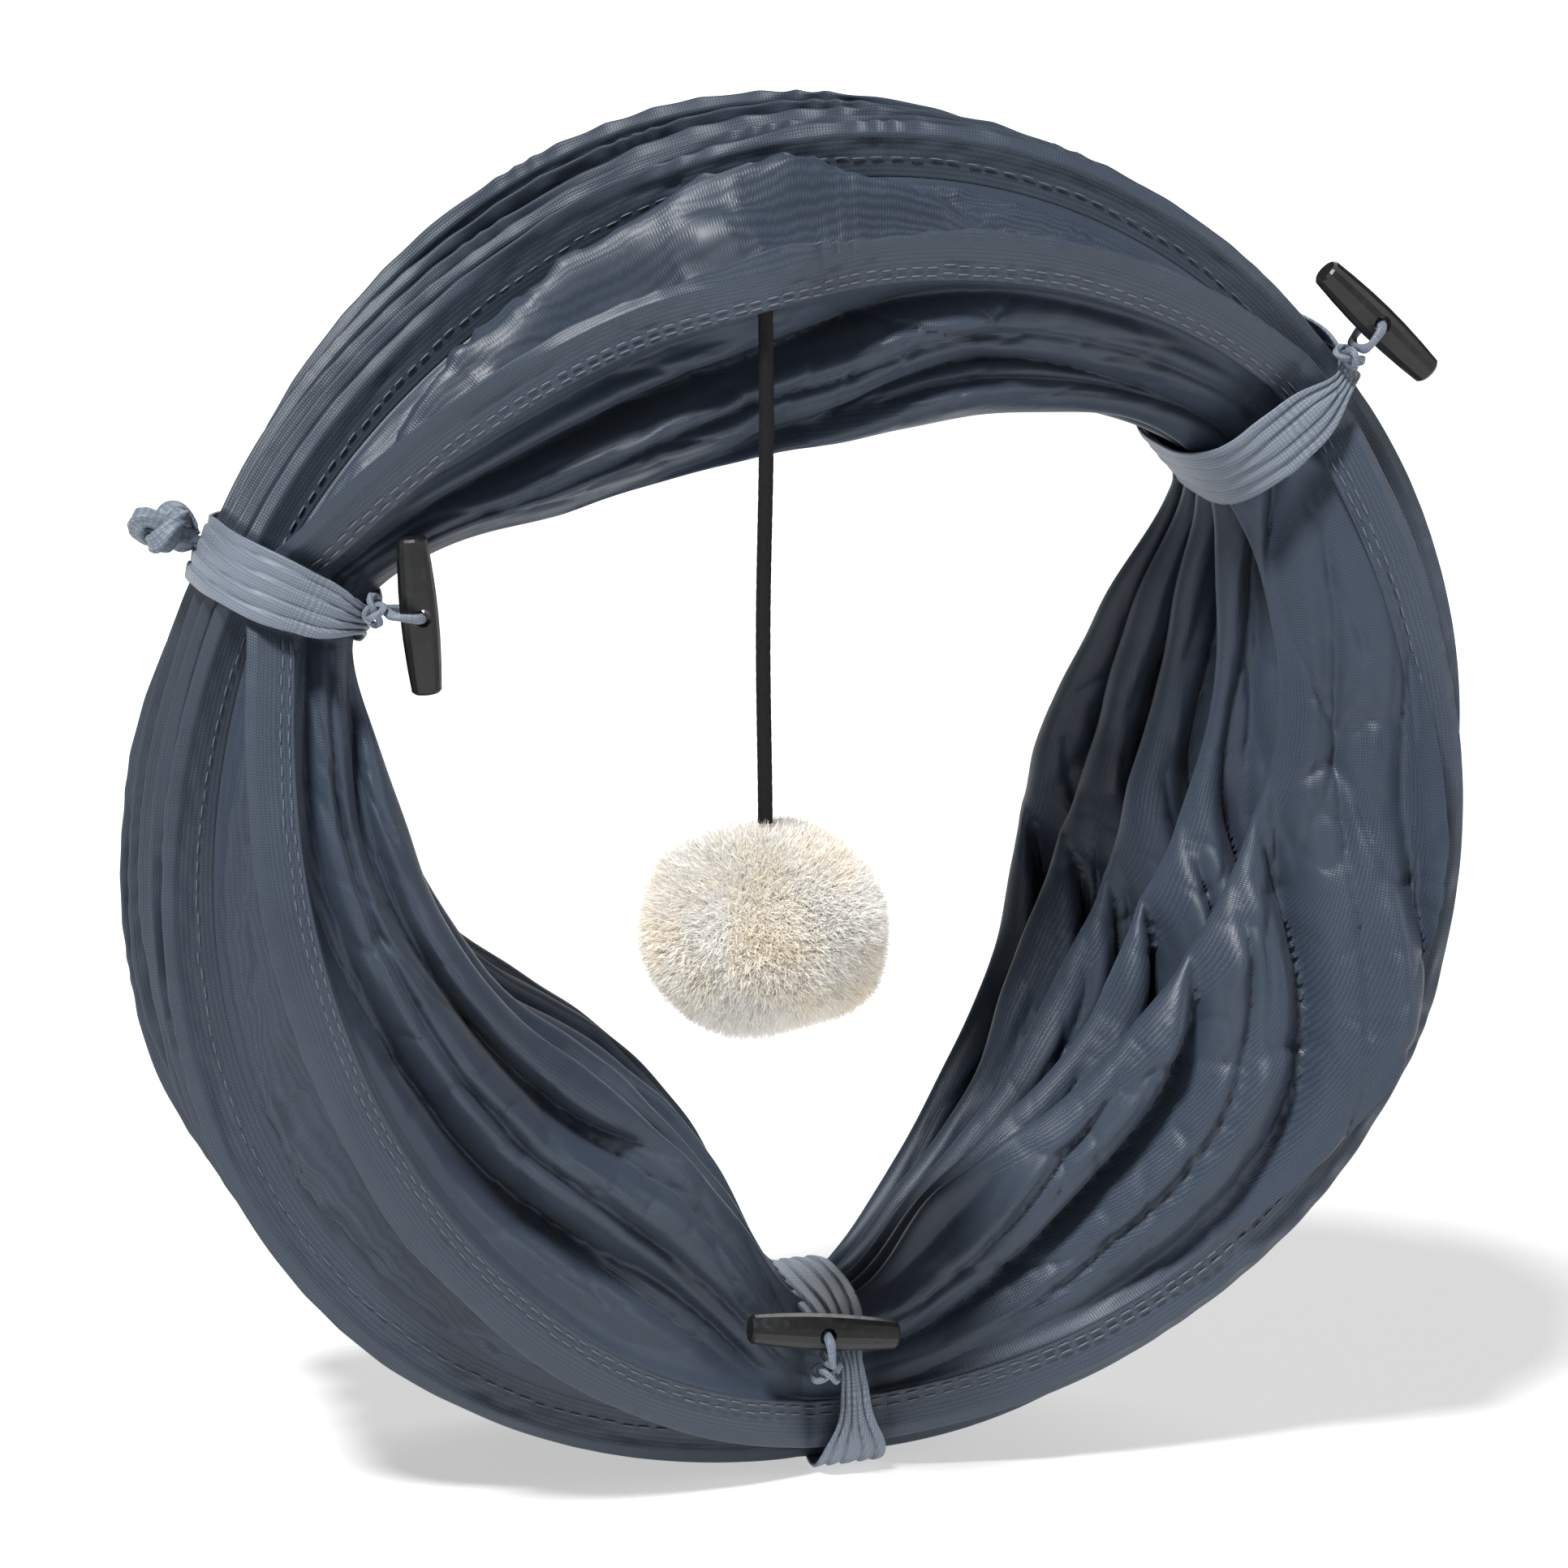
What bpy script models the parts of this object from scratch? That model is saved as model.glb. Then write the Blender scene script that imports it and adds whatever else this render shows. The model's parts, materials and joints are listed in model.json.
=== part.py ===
"""Pop-up cat tunnel, pushed flat and tied into a ring, with a pompom on an elastic cord.

The tunnel axis runs along Y, the front opening faces -Y and the ring stands on its bottom strap at z = 0.
Places on the ring are given by the angle round its axis, the distance from the axis and the depth along Y.
Sizes are in metres.
"""

import math

import bmesh
import bpy
import numpy as np
from mathutils import Matrix, Vector

# Clearances between pieces that touch
gap = 0.0003
overrun = 0.002
weld_distance = 0.00001

# Ring: oval outline of the wire turns, and the smaller front hem
ring_radius = 0.1270
ring_oval = 0.0075
ring_oval_angle = math.radians(52)
hem_inset = 0.0115
hem_shift_x = 0.0072
hem_shift_z = -0.0033
front_depth = -0.0390
stack_depth = 0.0900
turn_depth_shares = (0.0, 0.26, 0.42, 0.58, 0.78, 1.0)
turn_drift_shares = (0.0, 0.17, 0.12, 0.06, 0.02, 0.0)
turn_drift_angle = math.radians(130)

# Ties: angle, distance of the bundle's middle from the axis, half of its width and depth
tie_names = ("top", "left", "bottom")
tie_angles = tuple(math.radians(a) for a in (38, 155, 272))
bundle_insets = (0.0090, 0.0150, 0.0095)
bundle_half_widths = (0.0180, 0.0145, 0.0165)
bundle_half_depth = 0.0250
bundle_turn_inset = 0.0035
bundle_radial_inset = 0.0027
bundle_power = 3.0
span_shares = (0.0, 0.03, 0.10, 0.20, 0.32, 0.44, 0.56, 0.68, 0.80, 0.90, 0.97)
bundle_share = 0.03
spread_power = 0.75

# Spring wire and the sewn channels round it
wire_diameter = 0.0014
wire_sides_resolution = 1
wire_end_length = 0.0037
cap_diameter = 0.0030
cap_length = 0.0030
cap_steps = 10
channel_width = 0.0037
channel_wall = 0.0006
channel_leg = 0.0050
channel_rise = 0.0026
channel_shoulder = 0.0014
channel_cavity_rise = 0.0011

# Cloth panels folded in between the turns
cloth_thickness = 0.0006
cloth_edge_offset = 0.0006
cloth_edge_drop = 0.0012
cloth_edge_drop_window = 0.0030
cloth_under_channel = 0.0060
cloth_under_offset = 0.0008
groove_width = 0.0045
groove_drop = 0.0075
groove_share = 0.4
shoulder_share = 0.6
shoulder_bulge_share = 0.11
front_fold_insets = (
    (0.0225, 0.0230, 0.0300, 0.0390, 0.0470, 0.0520, 0.0530, 0.0510, 0.0460, 0.0350, 0.0255),
    (0.0250, 0.0255, 0.0370, 0.0450, 0.0510, 0.0565, 0.0610, 0.0600, 0.0550, 0.0430, 0.0220),
    (0.0215, 0.0220, 0.0400, 0.0490, 0.0515, 0.0520, 0.0480, 0.0410, 0.0310, 0.0250, 0.0230),
)
rear_fold_insets = (
    (0.0225, 0.0230, 0.0330, 0.0440, 0.0530, 0.0595, 0.0610, 0.0570, 0.0485, 0.0360, 0.0255),
    (0.0250, 0.0255, 0.0360, 0.0430, 0.0490, 0.0560, 0.0620, 0.0645, 0.0615, 0.0510, 0.0220),
    (0.0215, 0.0220, 0.0360, 0.0470, 0.0565, 0.0625, 0.0655, 0.0660, 0.0615, 0.0495, 0.0230),
)
rear_fold_shares = (0.0, 0.35, 0.6, 0.8, 1.0)
fold_loop_tied = 0.0014
fold_loop_open = 0.0045
fold_depth_spread = 0.0640
bundle_fold_spread = 0.0240
lift_height = 0.0050
lift_count = 1.7
lift_power = 1.6
lift_middle_share = 0.6
lift_wander_shares = ((0.5, 3, 0.7, 1.1), (0.22, 7, 2.0, 0.0))
lift_tip_length = 0.0080
lift_seam_share = 0.9
leg_shares = (0.76, 0.50, 0.25)
back_leg_shares = (0.50,)

# Tie straps
strap_width = 0.0130
strap_wall = 0.0012
strap_gap = 0.0004
strap_pinch_width = 0.0050
strap_pinch_power = 6
strap_points = 28
strap_flat_height = 0.0015

# Toggles: barrel with a cross hole, its loop and the knot that closes the loop
toggle_length = 0.0300
toggle_diameter = 0.0074
toggle_end_diameter = 0.0058
toggle_edge = 0.0005
toggle_hole = 0.0034
toggle_steps = 16
toggle_swell_shares = (0.35, 0.7, 1.0)
loop_diameter = 0.0018
loop_points = 14
knot_strand = 0.0013
knot_size = 0.0010
knot_depth = 0.0012
knot_points = 24
knot_tuck = 0.0006
loop_reach = 0.0062
toggle_sides = {"top": 1, "left": -1, "bottom": -1}
toggle_clear_out = {"top": 0.0076, "left": 0.0048, "bottom": -0.0010}
toggle_clear_front = {"top": -0.0013, "left": 0.0024, "bottom": 0.0040}
toggle_turns = {"top": math.radians(1.8), "left": math.radians(-4.0), "bottom": math.radians(-3.4)}
toggle_slopes = {"top": math.radians(-43.6), "left": math.radians(95), "bottom": math.radians(-7)}
knot_directions = {"top": math.radians(232), "left": math.radians(172), "bottom": math.radians(276)}
tail_radius = 0.0042
tail_fold_share = 0.18
tail_length = 0.0120
tail_out = 0.0060
tail_depth = 0.0120

# Pompom on its elastic cord
cord_angle = math.radians(99.4)
cord_rise = 0.0020
cord_diameter = 0.0028
cord_points = 15
cord_knot_diameter = 0.0042
tab_width = 0.0090
tab_height = 0.0100
tab_thickness = 0.0009
pompom_width = 0.0485
pompom_depth = 0.0470
pompom_height = 0.0400
pompom_drop = 0.1270
pompom_lump = 0.0012
pompom_lump_count = 4
pompom_segments = 20
pompom_rings = 12

# Derived places
tie_count = len(tie_names)
turn_count = len(turn_depth_shares)
hem_radius = ring_radius - hem_inset
bundle_radii = tuple(ring_radius - inset for inset in bundle_insets)
panel_count = turn_count - 1
bottom = tie_names.index("bottom")
floor_radius = bundle_radii[bottom] + bundle_half_widths[bottom] + strap_gap + strap_wall
axis_x = -floor_radius * math.cos(tie_angles[bottom])
axis_z = -floor_radius * math.sin(tie_angles[bottom]) - strap_flat_height
half_channel = channel_width / 2
window_half_angle = math.radians(4)
toggle_places = {
    name: (bundle_radii[tie] + toggle_sides[name] * (bundle_half_widths[tie] + toggle_clear_out[name]),
           tie_angles[tie] + toggle_turns[name], -bundle_half_depth - toggle_clear_front[name])
    for tie, name in enumerate(tie_names)
}


def clear_scene():
    """Empty the scene of any objects it opens with."""
    for obj in list(bpy.data.objects):
        bpy.data.objects.remove(obj, do_unlink=True)


def add_material(name, colour, roughness, metallic=0.0):
    """A Principled material with one colour."""
    material = bpy.data.materials.new(name)
    material.use_nodes = True
    shader = material.node_tree.nodes["Principled BSDF"]
    shader.inputs["Base Color"].default_value = (*colour, 1.0)
    shader.inputs["Roughness"].default_value = roughness
    shader.inputs["Metallic"].default_value = metallic
    return material


clear_scene()
parts = bpy.data.collections.new("cat_tunnel")
cutters = bpy.data.collections.new("cutters")
bpy.context.scene.collection.children.link(parts)
bpy.context.scene.collection.children.link(cutters)
palette = {
    "cloth": ((0.075, 0.098, 0.140), 0.45, 0.0),
    "hem": ((0.085, 0.108, 0.150), 0.5, 0.0),
    "strap": ((0.105, 0.130, 0.172), 0.55, 0.0),
    "wire": ((0.55, 0.55, 0.56), 0.3, 1.0),
    "cap": ((0.8, 0.8, 0.78), 0.5, 0.0),
    "toggle": ((0.012, 0.012, 0.013), 0.5, 0.0),
    "cord": ((0.010, 0.010, 0.010), 0.8, 0.0),
    "plush": ((0.80, 0.76, 0.68), 0.95, 0.0),
}


def finish(obj, name, finish_name, smooth_angle=40):
    """Name the object, give it its own material, file it with the parts and shade it smooth."""
    obj.name = name
    obj.data.name = name
    obj.data.materials.clear()
    obj.data.materials.append(add_material(name, *palette[finish_name]))
    for collection in list(obj.users_collection):
        collection.objects.unlink(obj)
    parts.objects.link(obj)
    if obj.type == "MESH":
        obj.data.shade_smooth()
        obj.data.set_sharp_from_angle(angle=math.radians(smooth_angle))
    return obj


def mesh_object(points, faces, edges=()):
    """A mesh object from points and faces, or from points and edges."""
    mesh = bpy.data.meshes.new("mesh")
    mesh.from_pydata([tuple(p) for p in points], edges, faces)
    mesh.update()
    obj = bpy.data.objects.new("mesh", mesh)
    bpy.context.scene.collection.objects.link(obj)
    return obj


def turned(outline, steps):
    """A round body turned about local Z from an outline of (radius, height) pairs."""
    obj = mesh_object([(r, 0.0, h) for r, h in outline], [], [(i, i + 1) for i in range(len(outline) - 1)])
    screw = obj.modifiers.new("turn", "SCREW")
    screw.steps = screw.render_steps = steps
    screw.use_merge_vertices = True
    screw.merge_threshold = weld_distance
    return obj


# Where things lie on the ring


def span_of(angle):
    """The tie before an angle, the one after it, and the share of the way between them."""
    for i in range(tie_count):
        j = (i + 1) % tie_count
        width = (tie_angles[j] - tie_angles[i]) % math.tau
        ahead = (angle - tie_angles[i] + 1e-9) % math.tau
        if ahead < width:
            return i, j, ahead / width
    return 0, 1, 0.0


def spread(angle):
    """0 in a bundle and 1 midway between two ties."""
    share = span_of(angle)[2]
    inner = min(max((share - bundle_share) / (1 - 2 * bundle_share), 0.0), 1.0)
    return math.sin(math.pi * inner) ** spread_power


def between_ties(values, angle):
    """A value that each tie has, eased from one tie to the next."""
    i, j, share = span_of(angle)
    ease = share * share * (3 - 2 * share)
    return values[i] + (values[j] - values[i]) * ease


def ring_point(angle, radius, depth):
    """A place on the ring in world coordinates."""
    return Vector((axis_x + radius * math.cos(angle), depth, axis_z + radius * math.sin(angle)))


def squircle(share, half_width):
    """Half width of a bundle at a share of its half depth."""
    return half_width * (1 - min(abs(share), 1.0) ** bundle_power) ** (1 / bundle_power)


def turn_place(turn, angle):
    """Distance from the axis and depth of a wire turn: spread between ties, drawn together in them."""
    if turn == 0:
        open_radius = hem_radius + hem_shift_x * math.cos(angle) + hem_shift_z * math.sin(angle)
    else:
        open_radius = ring_radius + ring_oval * math.cos(2 * (angle - ring_oval_angle))
    drift = turn_drift_shares[turn] * math.cos(angle - turn_drift_angle)
    open_depth = front_depth + stack_depth * (turn_depth_shares[turn] + drift)
    turn_share = 2 * turn / (turn_count - 1) - 1
    tied_depth = (bundle_half_depth - bundle_turn_inset) * turn_share
    inner_width = between_ties(bundle_half_widths, angle) - bundle_radial_inset
    tied_share = tied_depth / (bundle_half_depth - bundle_turn_inset / 2)
    tied_radius = between_ties(bundle_radii, angle) + squircle(tied_share, inner_width)
    part = spread(angle)
    return tied_radius + (open_radius - tied_radius) * part, tied_depth + (open_depth - tied_depth) * part


def fold_radius(panel, angle):
    """Distance from the axis of the inner edge of a panel: between the front fold's line and the rear fold's."""
    i, j, share = span_of(angle)
    shares = (*span_shares, 1.0)
    front = float(np.interp(share, shares, (*front_fold_insets[i], front_fold_insets[j][0])))
    rear = float(np.interp(share, shares, (*rear_fold_insets[i], rear_fold_insets[j][0])))
    return ring_radius - front - (rear - front) * rear_fold_shares[panel]


def fold_depth(panel, angle):
    """Depth of the inner edge of a panel."""
    place = (panel - (panel_count - 1) / 2) / (panel_count - 1)
    tied_depth = bundle_fold_spread * place
    open_depth = front_depth + stack_depth / 2 + fold_depth_spread * place
    return tied_depth + (open_depth - tied_depth) * spread(angle)


def lift(panel, angle, radius):
    """Depth that the long folds add to a leg: ridges that run round the ring and wander, the same for every panel."""
    inner = fold_radius(panel_count - 1, angle)
    share = (radius - inner) / (turn_place(0, angle)[0] - inner)
    wander = sum(size * math.sin(count * angle + start + slope * share) for size, count, start, slope in lift_wander_shares)
    phase = (lift_count * share + wander) % 1.0
    ridge = 1 - abs(2 * phase - 1) ** lift_power - lift_middle_share
    at_tip = min(max((radius - fold_radius(panel, angle)) / lift_tip_length, 0.0), 1.0)
    at_seam = min(max((1 - share) / (1 - lift_seam_share), 0.0), 1.0)
    return lift_height * ridge * at_tip * at_seam * spread(angle)


def panel_profile(panel, angle):
    """Cross section of a panel: in from one turn, round the fold, back out and over to the next turn."""
    front_radius, front_y = turn_place(panel, angle)
    rear_radius, rear_y = turn_place(panel + 1, angle)
    tip, tip_y = fold_radius(panel, angle), fold_depth(panel, angle)
    part = spread(angle)
    loop = fold_loop_tied + (fold_loop_open - fold_loop_tied) * part
    groove = min(groove_width, groove_share * (rear_y - front_y))
    groove_radius = min(front_radius, rear_radius) - groove_drop
    shoulder = (groove_radius + rear_radius - cloth_under_channel) / 2
    bulge = shoulder_bulge_share * part * (rear_y - front_y)
    window = abs(math.remainder(angle - tie_angles[bottom], math.tau)) < window_half_angle
    edge_drop = cloth_edge_drop_window if window else cloth_edge_drop
    start_radius, start_y = front_radius - cloth_under_channel, front_y + cloth_under_offset
    end_y = front_y + groove
    legs = []
    for share in leg_shares:
        radius = tip + (start_radius - tip) * share
        depth = tip_y - loop + (start_y - tip_y + loop) * share
        legs.append((radius, depth + lift(panel, angle, radius)))
    back = []
    for share in back_leg_shares:
        radius = tip + (groove_radius - tip) * share
        depth = tip_y + loop + (end_y - tip_y - loop) * share
        back.append((radius, depth + lift(panel, angle, radius)))
    return [
        (front_radius - edge_drop, front_y + cloth_edge_offset),
        (start_radius, start_y),
        *legs,
        (tip + loop, tip_y - loop),
        (tip, tip_y),
        (tip + loop, tip_y + loop),
        *back,
        (groove_radius, end_y),
        (shoulder + bulge, front_y + (rear_y - front_y) * shoulder_share),
        (rear_radius - cloth_under_channel, rear_y - cloth_under_offset),
        (rear_radius - edge_drop, rear_y - cloth_edge_offset),
    ]


def channel_profile(turn, angle):
    """Cross section of a sewn channel: a fold of cloth over the wire, open towards the axis."""
    radius, depth = turn_place(turn, angle)
    inner = half_channel - channel_wall
    shape = [
        (-channel_leg, -half_channel), (channel_shoulder, -half_channel), (channel_rise, 0.0),
        (channel_shoulder, half_channel), (-channel_leg, half_channel), (-channel_leg, inner),
        (channel_cavity_rise, inner), (channel_cavity_rise, -inner), (-channel_leg, -inner),
    ]
    return [(radius + r, depth + d) for r, d in shape]


def ring_angles():
    """Angles where the ring's cross sections lie, counted from the bottom tie."""
    angles = []
    base = tie_angles[bottom]
    for step in range(tie_count):
        i = (bottom + step) % tie_count
        width = (tie_angles[(i + 1) % tie_count] - tie_angles[i]) % math.tau
        angles += [base + width * share for share in span_shares]
        base += width
    return angles


def sweep(sections, closed_profile, closed_path):
    """Join rows of points, one row for each cross section, into a strip or tube of quads."""
    rows, columns = len(sections), len(sections[0])
    faces = []
    for row in range(rows if closed_path else rows - 1):
        after = (row + 1) % rows
        for column in range(columns if closed_profile else columns - 1):
            beside = (column + 1) % columns
            faces.append((row * columns + column, row * columns + beside,
                          after * columns + beside, after * columns + column))
    if closed_profile and not closed_path:
        faces.append(tuple(reversed(range(columns))))
        faces.append(tuple((rows - 1) * columns + column for column in range(columns)))
    obj = mesh_object([point for section in sections for point in section], faces)
    face_outwards(obj)
    return obj


def face_outwards(obj):
    """Turn the faces of a mesh the same way, outwards where it is closed."""
    mesh = bmesh.new()
    mesh.from_mesh(obj.data)
    bmesh.ops.recalc_face_normals(mesh, faces=mesh.faces)
    mesh.to_mesh(obj.data)
    mesh.free()


# Spiral spring wire: six turns, stepping back one place each time it passes the bottom tie


def wire_path():
    """Points along the one unbroken wire, with a short straight at each end."""
    angles = ring_angles()
    points = []
    for turn in range(turn_count):
        for index, angle in enumerate(angles[1:], start=1):
            points.append(ring_point(angle, *turn_place(turn, angle)))
        if turn < turn_count - 1:
            here, after = turn_place(turn, angles[0]), turn_place(turn + 1, angles[0])
            points.append(ring_point(angles[0], (here[0] + after[0]) / 2, (here[1] + after[1]) / 2))
    points.insert(0, points[0] + (points[0] - points[1]).normalized() * wire_end_length)
    points.append(points[-1] + (points[-1] - points[-2]).normalized() * wire_end_length)
    return points


def least_gap(points, diameter, skip):
    """Least clear distance of a tube to itself, leaving out its next few points."""
    places = np.array([tuple(p) for p in points])
    fine = np.concatenate([places[:-1] + (places[1:] - places[:-1]) * s for s in (0.0, 0.5)])
    order = np.concatenate([np.arange(len(places) - 1) + s for s in (0.0, 0.5)])
    apart = np.linalg.norm(fine[:, None] - fine[None], axis=2)
    apart[np.abs(order[:, None] - order[None]) < skip] = np.inf
    return apart.min() - diameter


def tube(points, diameter, cyclic=False, resolution=2):
    """A round tube through points, with filled ends."""
    curve = bpy.data.curves.new("tube", "CURVE")
    curve.dimensions = "3D"
    curve.bevel_depth = diameter / 2
    curve.bevel_resolution = resolution
    curve.use_fill_caps = True
    spline = curve.splines.new("POLY")
    spline.points.add(len(points) - 1)
    for place, point in zip(spline.points, points):
        place.co = (*point, 1.0)
    spline.use_cyclic_u = cyclic
    obj = bpy.data.objects.new("tube", curve)
    bpy.context.scene.collection.objects.link(obj)
    return obj


wire_points = wire_path()
finish(tube(wire_points, wire_diameter, resolution=wire_sides_resolution), "spiral_spring_wire", "wire")
print("least gap of the spring wire to itself, mm:", round(least_gap(wire_points, wire_diameter, 6) * 1000, 2))


def wire_cap(end, inner):
    """A cup over the end of the wire: a turned profile, closed at its far end."""
    bore = wire_diameter / 2 + gap
    wall = cap_diameter / 2
    length = cap_length
    depth = length - (wall - bore)
    outline = [(0.0, length), (wall, length), (wall, 0.0), (bore, 0.0), (bore, depth), (0.0, depth)]
    obj = turned(outline, cap_steps)
    direction = (end - inner).normalized()
    start = end - direction * (depth - gap)
    obj.matrix_world = Matrix.Translation(start) @ direction.to_track_quat("Z", "Y").to_matrix().to_4x4()
    return obj


finish(wire_cap(wire_points[0], wire_points[1]), "wire_cap_front", "cap")
finish(wire_cap(wire_points[-1], wire_points[-2]), "wire_cap_rear", "cap")


# Hems and sewn channels: open rings whose ends meet under the bottom strap


channel_names = ["front_hem"] + [f"wire_channel_{n}" for n in range(1, turn_count - 1)] + ["rear_hem"]
for turn, name in enumerate(channel_names):
    sections = [[ring_point(angle, *place) for place in channel_profile(turn, angle)]
                for angle in ring_angles()[1:]]
    finish(sweep(sections, closed_profile=True, closed_path=False), name, "hem")


# Cloth panels, folded in between neighbouring turns


for panel in range(panel_count):
    sections = [[ring_point(angle, *place) for place in panel_profile(panel, angle)] for angle in ring_angles()]
    obj = sweep(sections, closed_profile=False, closed_path=True)
    wall = obj.modifiers.new("cloth", "SOLIDIFY")
    wall.thickness = cloth_thickness
    wall.offset = 0.0
    wall.use_even_offset = True
    finish(obj, f"cloth_panel_{panel + 1}", "cloth", smooth_angle=60)


# Tie straps: flat bands round the bundles, gathered towards the toggle


def strap_section(tie, share, pinch_angle):
    """One cross section of a strap: four corners, drawn in where the strap is gathered."""
    name = tie_names[tie]
    angle = tie_angles[tie]
    turn = math.tau * share
    across = Vector((-math.sin(angle), 0.0, math.cos(angle)))
    near = max(math.cos(turn - pinch_angle), 0.0) ** strap_pinch_power
    half = (strap_width + (strap_pinch_width - strap_width) * near) / 2
    corners = []
    for growth, side in ((0.0, -1), (0.0, 1), (strap_wall, 1), (strap_wall, -1)):
        half_width = bundle_half_widths[tie] + strap_gap + growth
        half_depth = bundle_half_depth + strap_gap + growth
        power = 2 / bundle_power
        radial = half_width * math.copysign(abs(math.cos(turn)) ** power, math.cos(turn))
        depth = half_depth * math.copysign(abs(math.sin(turn)) ** power, math.sin(turn))
        point = ring_point(angle, bundle_radii[tie] + radial, depth) + across * (side * half)
        if name == "bottom":
            point.z = max(point.z, strap_wall - growth)
        corners.append(point)
    return corners


pinch_angles = {"top": math.radians(-50), "left": math.radians(-130), "bottom": math.radians(-105)}
for tie, name in enumerate(tie_names):
    sections = [strap_section(tie, n / strap_points, pinch_angles[name]) for n in range(strap_points)]
    finish(sweep(sections, closed_profile=True, closed_path=True), f"strap_{name}", "strap")


def strap_tail(tie):
    """Gathered tail of a strap, knotted at the outer back corner of its bundle."""
    angle = tie_angles[tie]
    out = bundle_half_widths[tie] + strap_gap + strap_wall
    place = ring_point(angle, bundle_radii[tie] + out + tail_out, tail_depth)
    tail = bmesh.new()
    bmesh.ops.create_uvsphere(tail, u_segments=10, v_segments=8, radius=tail_radius)
    for vert in tail.verts:
        share = vert.co.z / tail_radius
        vert.co.x *= 1 + tail_fold_share * math.cos(3 * math.atan2(vert.co.y, vert.co.x))
        vert.co.z = share * tail_length / 2
    mesh = bpy.data.meshes.new("tail")
    tail.to_mesh(mesh)
    tail.free()
    obj = bpy.data.objects.new("tail", mesh)
    bpy.context.scene.collection.objects.link(obj)
    obj.matrix_world = Matrix.Translation(place) @ Matrix.Rotation(-angle - math.pi / 2, 4, "Y")
    return obj


finish(strap_tail(tie_names.index("left")), "strap_tail_left", "strap")


# Toggles, their loops and knots


def toggle_body(name):
    """Turned barrel with flat ends, its length along local X and a cross hole along local Y."""
    half = toggle_length / 2
    wide, end = toggle_diameter / 2, toggle_end_diameter / 2
    outline = [(0.0, half), (end - toggle_edge, half), (end, half - toggle_edge)]
    outline += [(end + (wide - end) * math.sin(math.pi / 2 * s), half * (1 - s)) for s in toggle_swell_shares]
    outline += [(r, -h) for r, h in reversed(outline[:-1])]
    obj = turned(outline, toggle_steps)
    radius, angle, depth = toggle_places[name]
    along = Matrix.Rotation(-toggle_slopes[name], 4, "Y") @ Matrix.Rotation(math.pi / 2, 4, "Y")
    obj.matrix_world = Matrix.Translation(ring_point(angle, radius, depth)) @ along
    bpy.ops.mesh.primitive_cylinder_add(vertices=toggle_steps, radius=toggle_hole / 2,
                                        depth=toggle_diameter + 2 * overrun)
    cutter = bpy.context.object
    cutter.name = f"toggle_hole_{name}"
    cutter.matrix_world = Matrix.Translation(ring_point(angle, radius, depth)) @ Matrix.Rotation(math.pi / 2, 4, "X")
    cutter.hide_render = True
    cutter.display_type = "WIRE"
    for collection in list(cutter.users_collection):
        collection.objects.unlink(cutter)
    cutters.objects.link(cutter)
    hole = obj.modifiers.new("hole", "BOOLEAN")
    hole.object = cutter
    hole.solver = "EXACT"
    return obj


def loop_path(name):
    """Closed path of a toggle's loop: through the hole, round the barrel and back to the knot."""
    radius, angle, depth = toggle_places[name]
    centre = ring_point(angle, radius, depth)
    down = Vector((math.cos(knot_directions[name]), 0.0, math.sin(knot_directions[name])))
    half_depth = toggle_diameter / 2 + loop_diameter / 2 + gap
    middle = centre + down * (loop_reach / 2)
    points = []
    for n in range(loop_points):
        turn = math.tau * n / loop_points
        away = down * (math.copysign(abs(math.cos(turn)) ** 0.5, math.cos(turn)) * loop_reach / 2)
        side = math.copysign(abs(math.sin(turn)) ** 0.5, math.sin(turn)) * half_depth
        points.append(middle + away + Vector((0.0, side, 0.0)))
    return points


def knot_path(name):
    """A trefoil, the path of an overhand knot, drawn out along the barrel."""
    radius, angle, depth = toggle_places[name]
    direction = knot_directions[name]
    down = Vector((math.cos(direction), 0.0, math.sin(direction)))
    beside = Vector((-down.z, 0.0, down.x))
    below = loop_reach + loop_diameter / 2 + gap + knot_depth + knot_strand / 2 - knot_tuck
    centre = ring_point(angle, radius, depth) + down * below
    points = []
    for n in range(knot_points):
        t = math.tau * n / knot_points
        points.append(centre
                      + beside * (knot_size * (math.sin(t) + 2 * math.sin(2 * t)))
                      + Vector((0.0, knot_size * (math.cos(t) - 2 * math.cos(2 * t)), 0.0))
                      + down * (-knot_depth * math.sin(3 * t)))
    return points


for name in tie_names:
    finish(toggle_body(name), f"toggle_{name}", "toggle", smooth_angle=50)
    finish(tube(loop_path(name), loop_diameter, cyclic=True, resolution=1), f"toggle_loop_{name}", "strap")
    finish(tube(knot_path(name), knot_strand, cyclic=True, resolution=1), f"toggle_knot_{name}", "strap")


# Tab and knot at the front hem, elastic cord and pompom


hem_place_radius, hem_place_depth = turn_place(0, cord_angle)
hem_face = hem_place_depth - half_channel
tab_depth = hem_face - gap - tab_thickness / 2
knot_depth_place = hem_face - 2 * gap - tab_thickness - cord_knot_diameter / 2
knot_place = ring_point(cord_angle, hem_place_radius + cord_rise, knot_depth_place)

bpy.ops.mesh.primitive_cube_add(size=1)
tab = bpy.context.object
tab.data.transform(Matrix.Diagonal((tab_width, tab_thickness, tab_height, 1.0)))
tab.location = (knot_place.x, tab_depth, knot_place.z)
finish(tab, "cord_tab", "hem")

bpy.ops.mesh.primitive_uv_sphere_add(segments=12, ring_count=8, radius=cord_knot_diameter / 2)
knot = bpy.context.object
knot.location = knot_place
finish(knot, "cord_knot", "cord")

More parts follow.
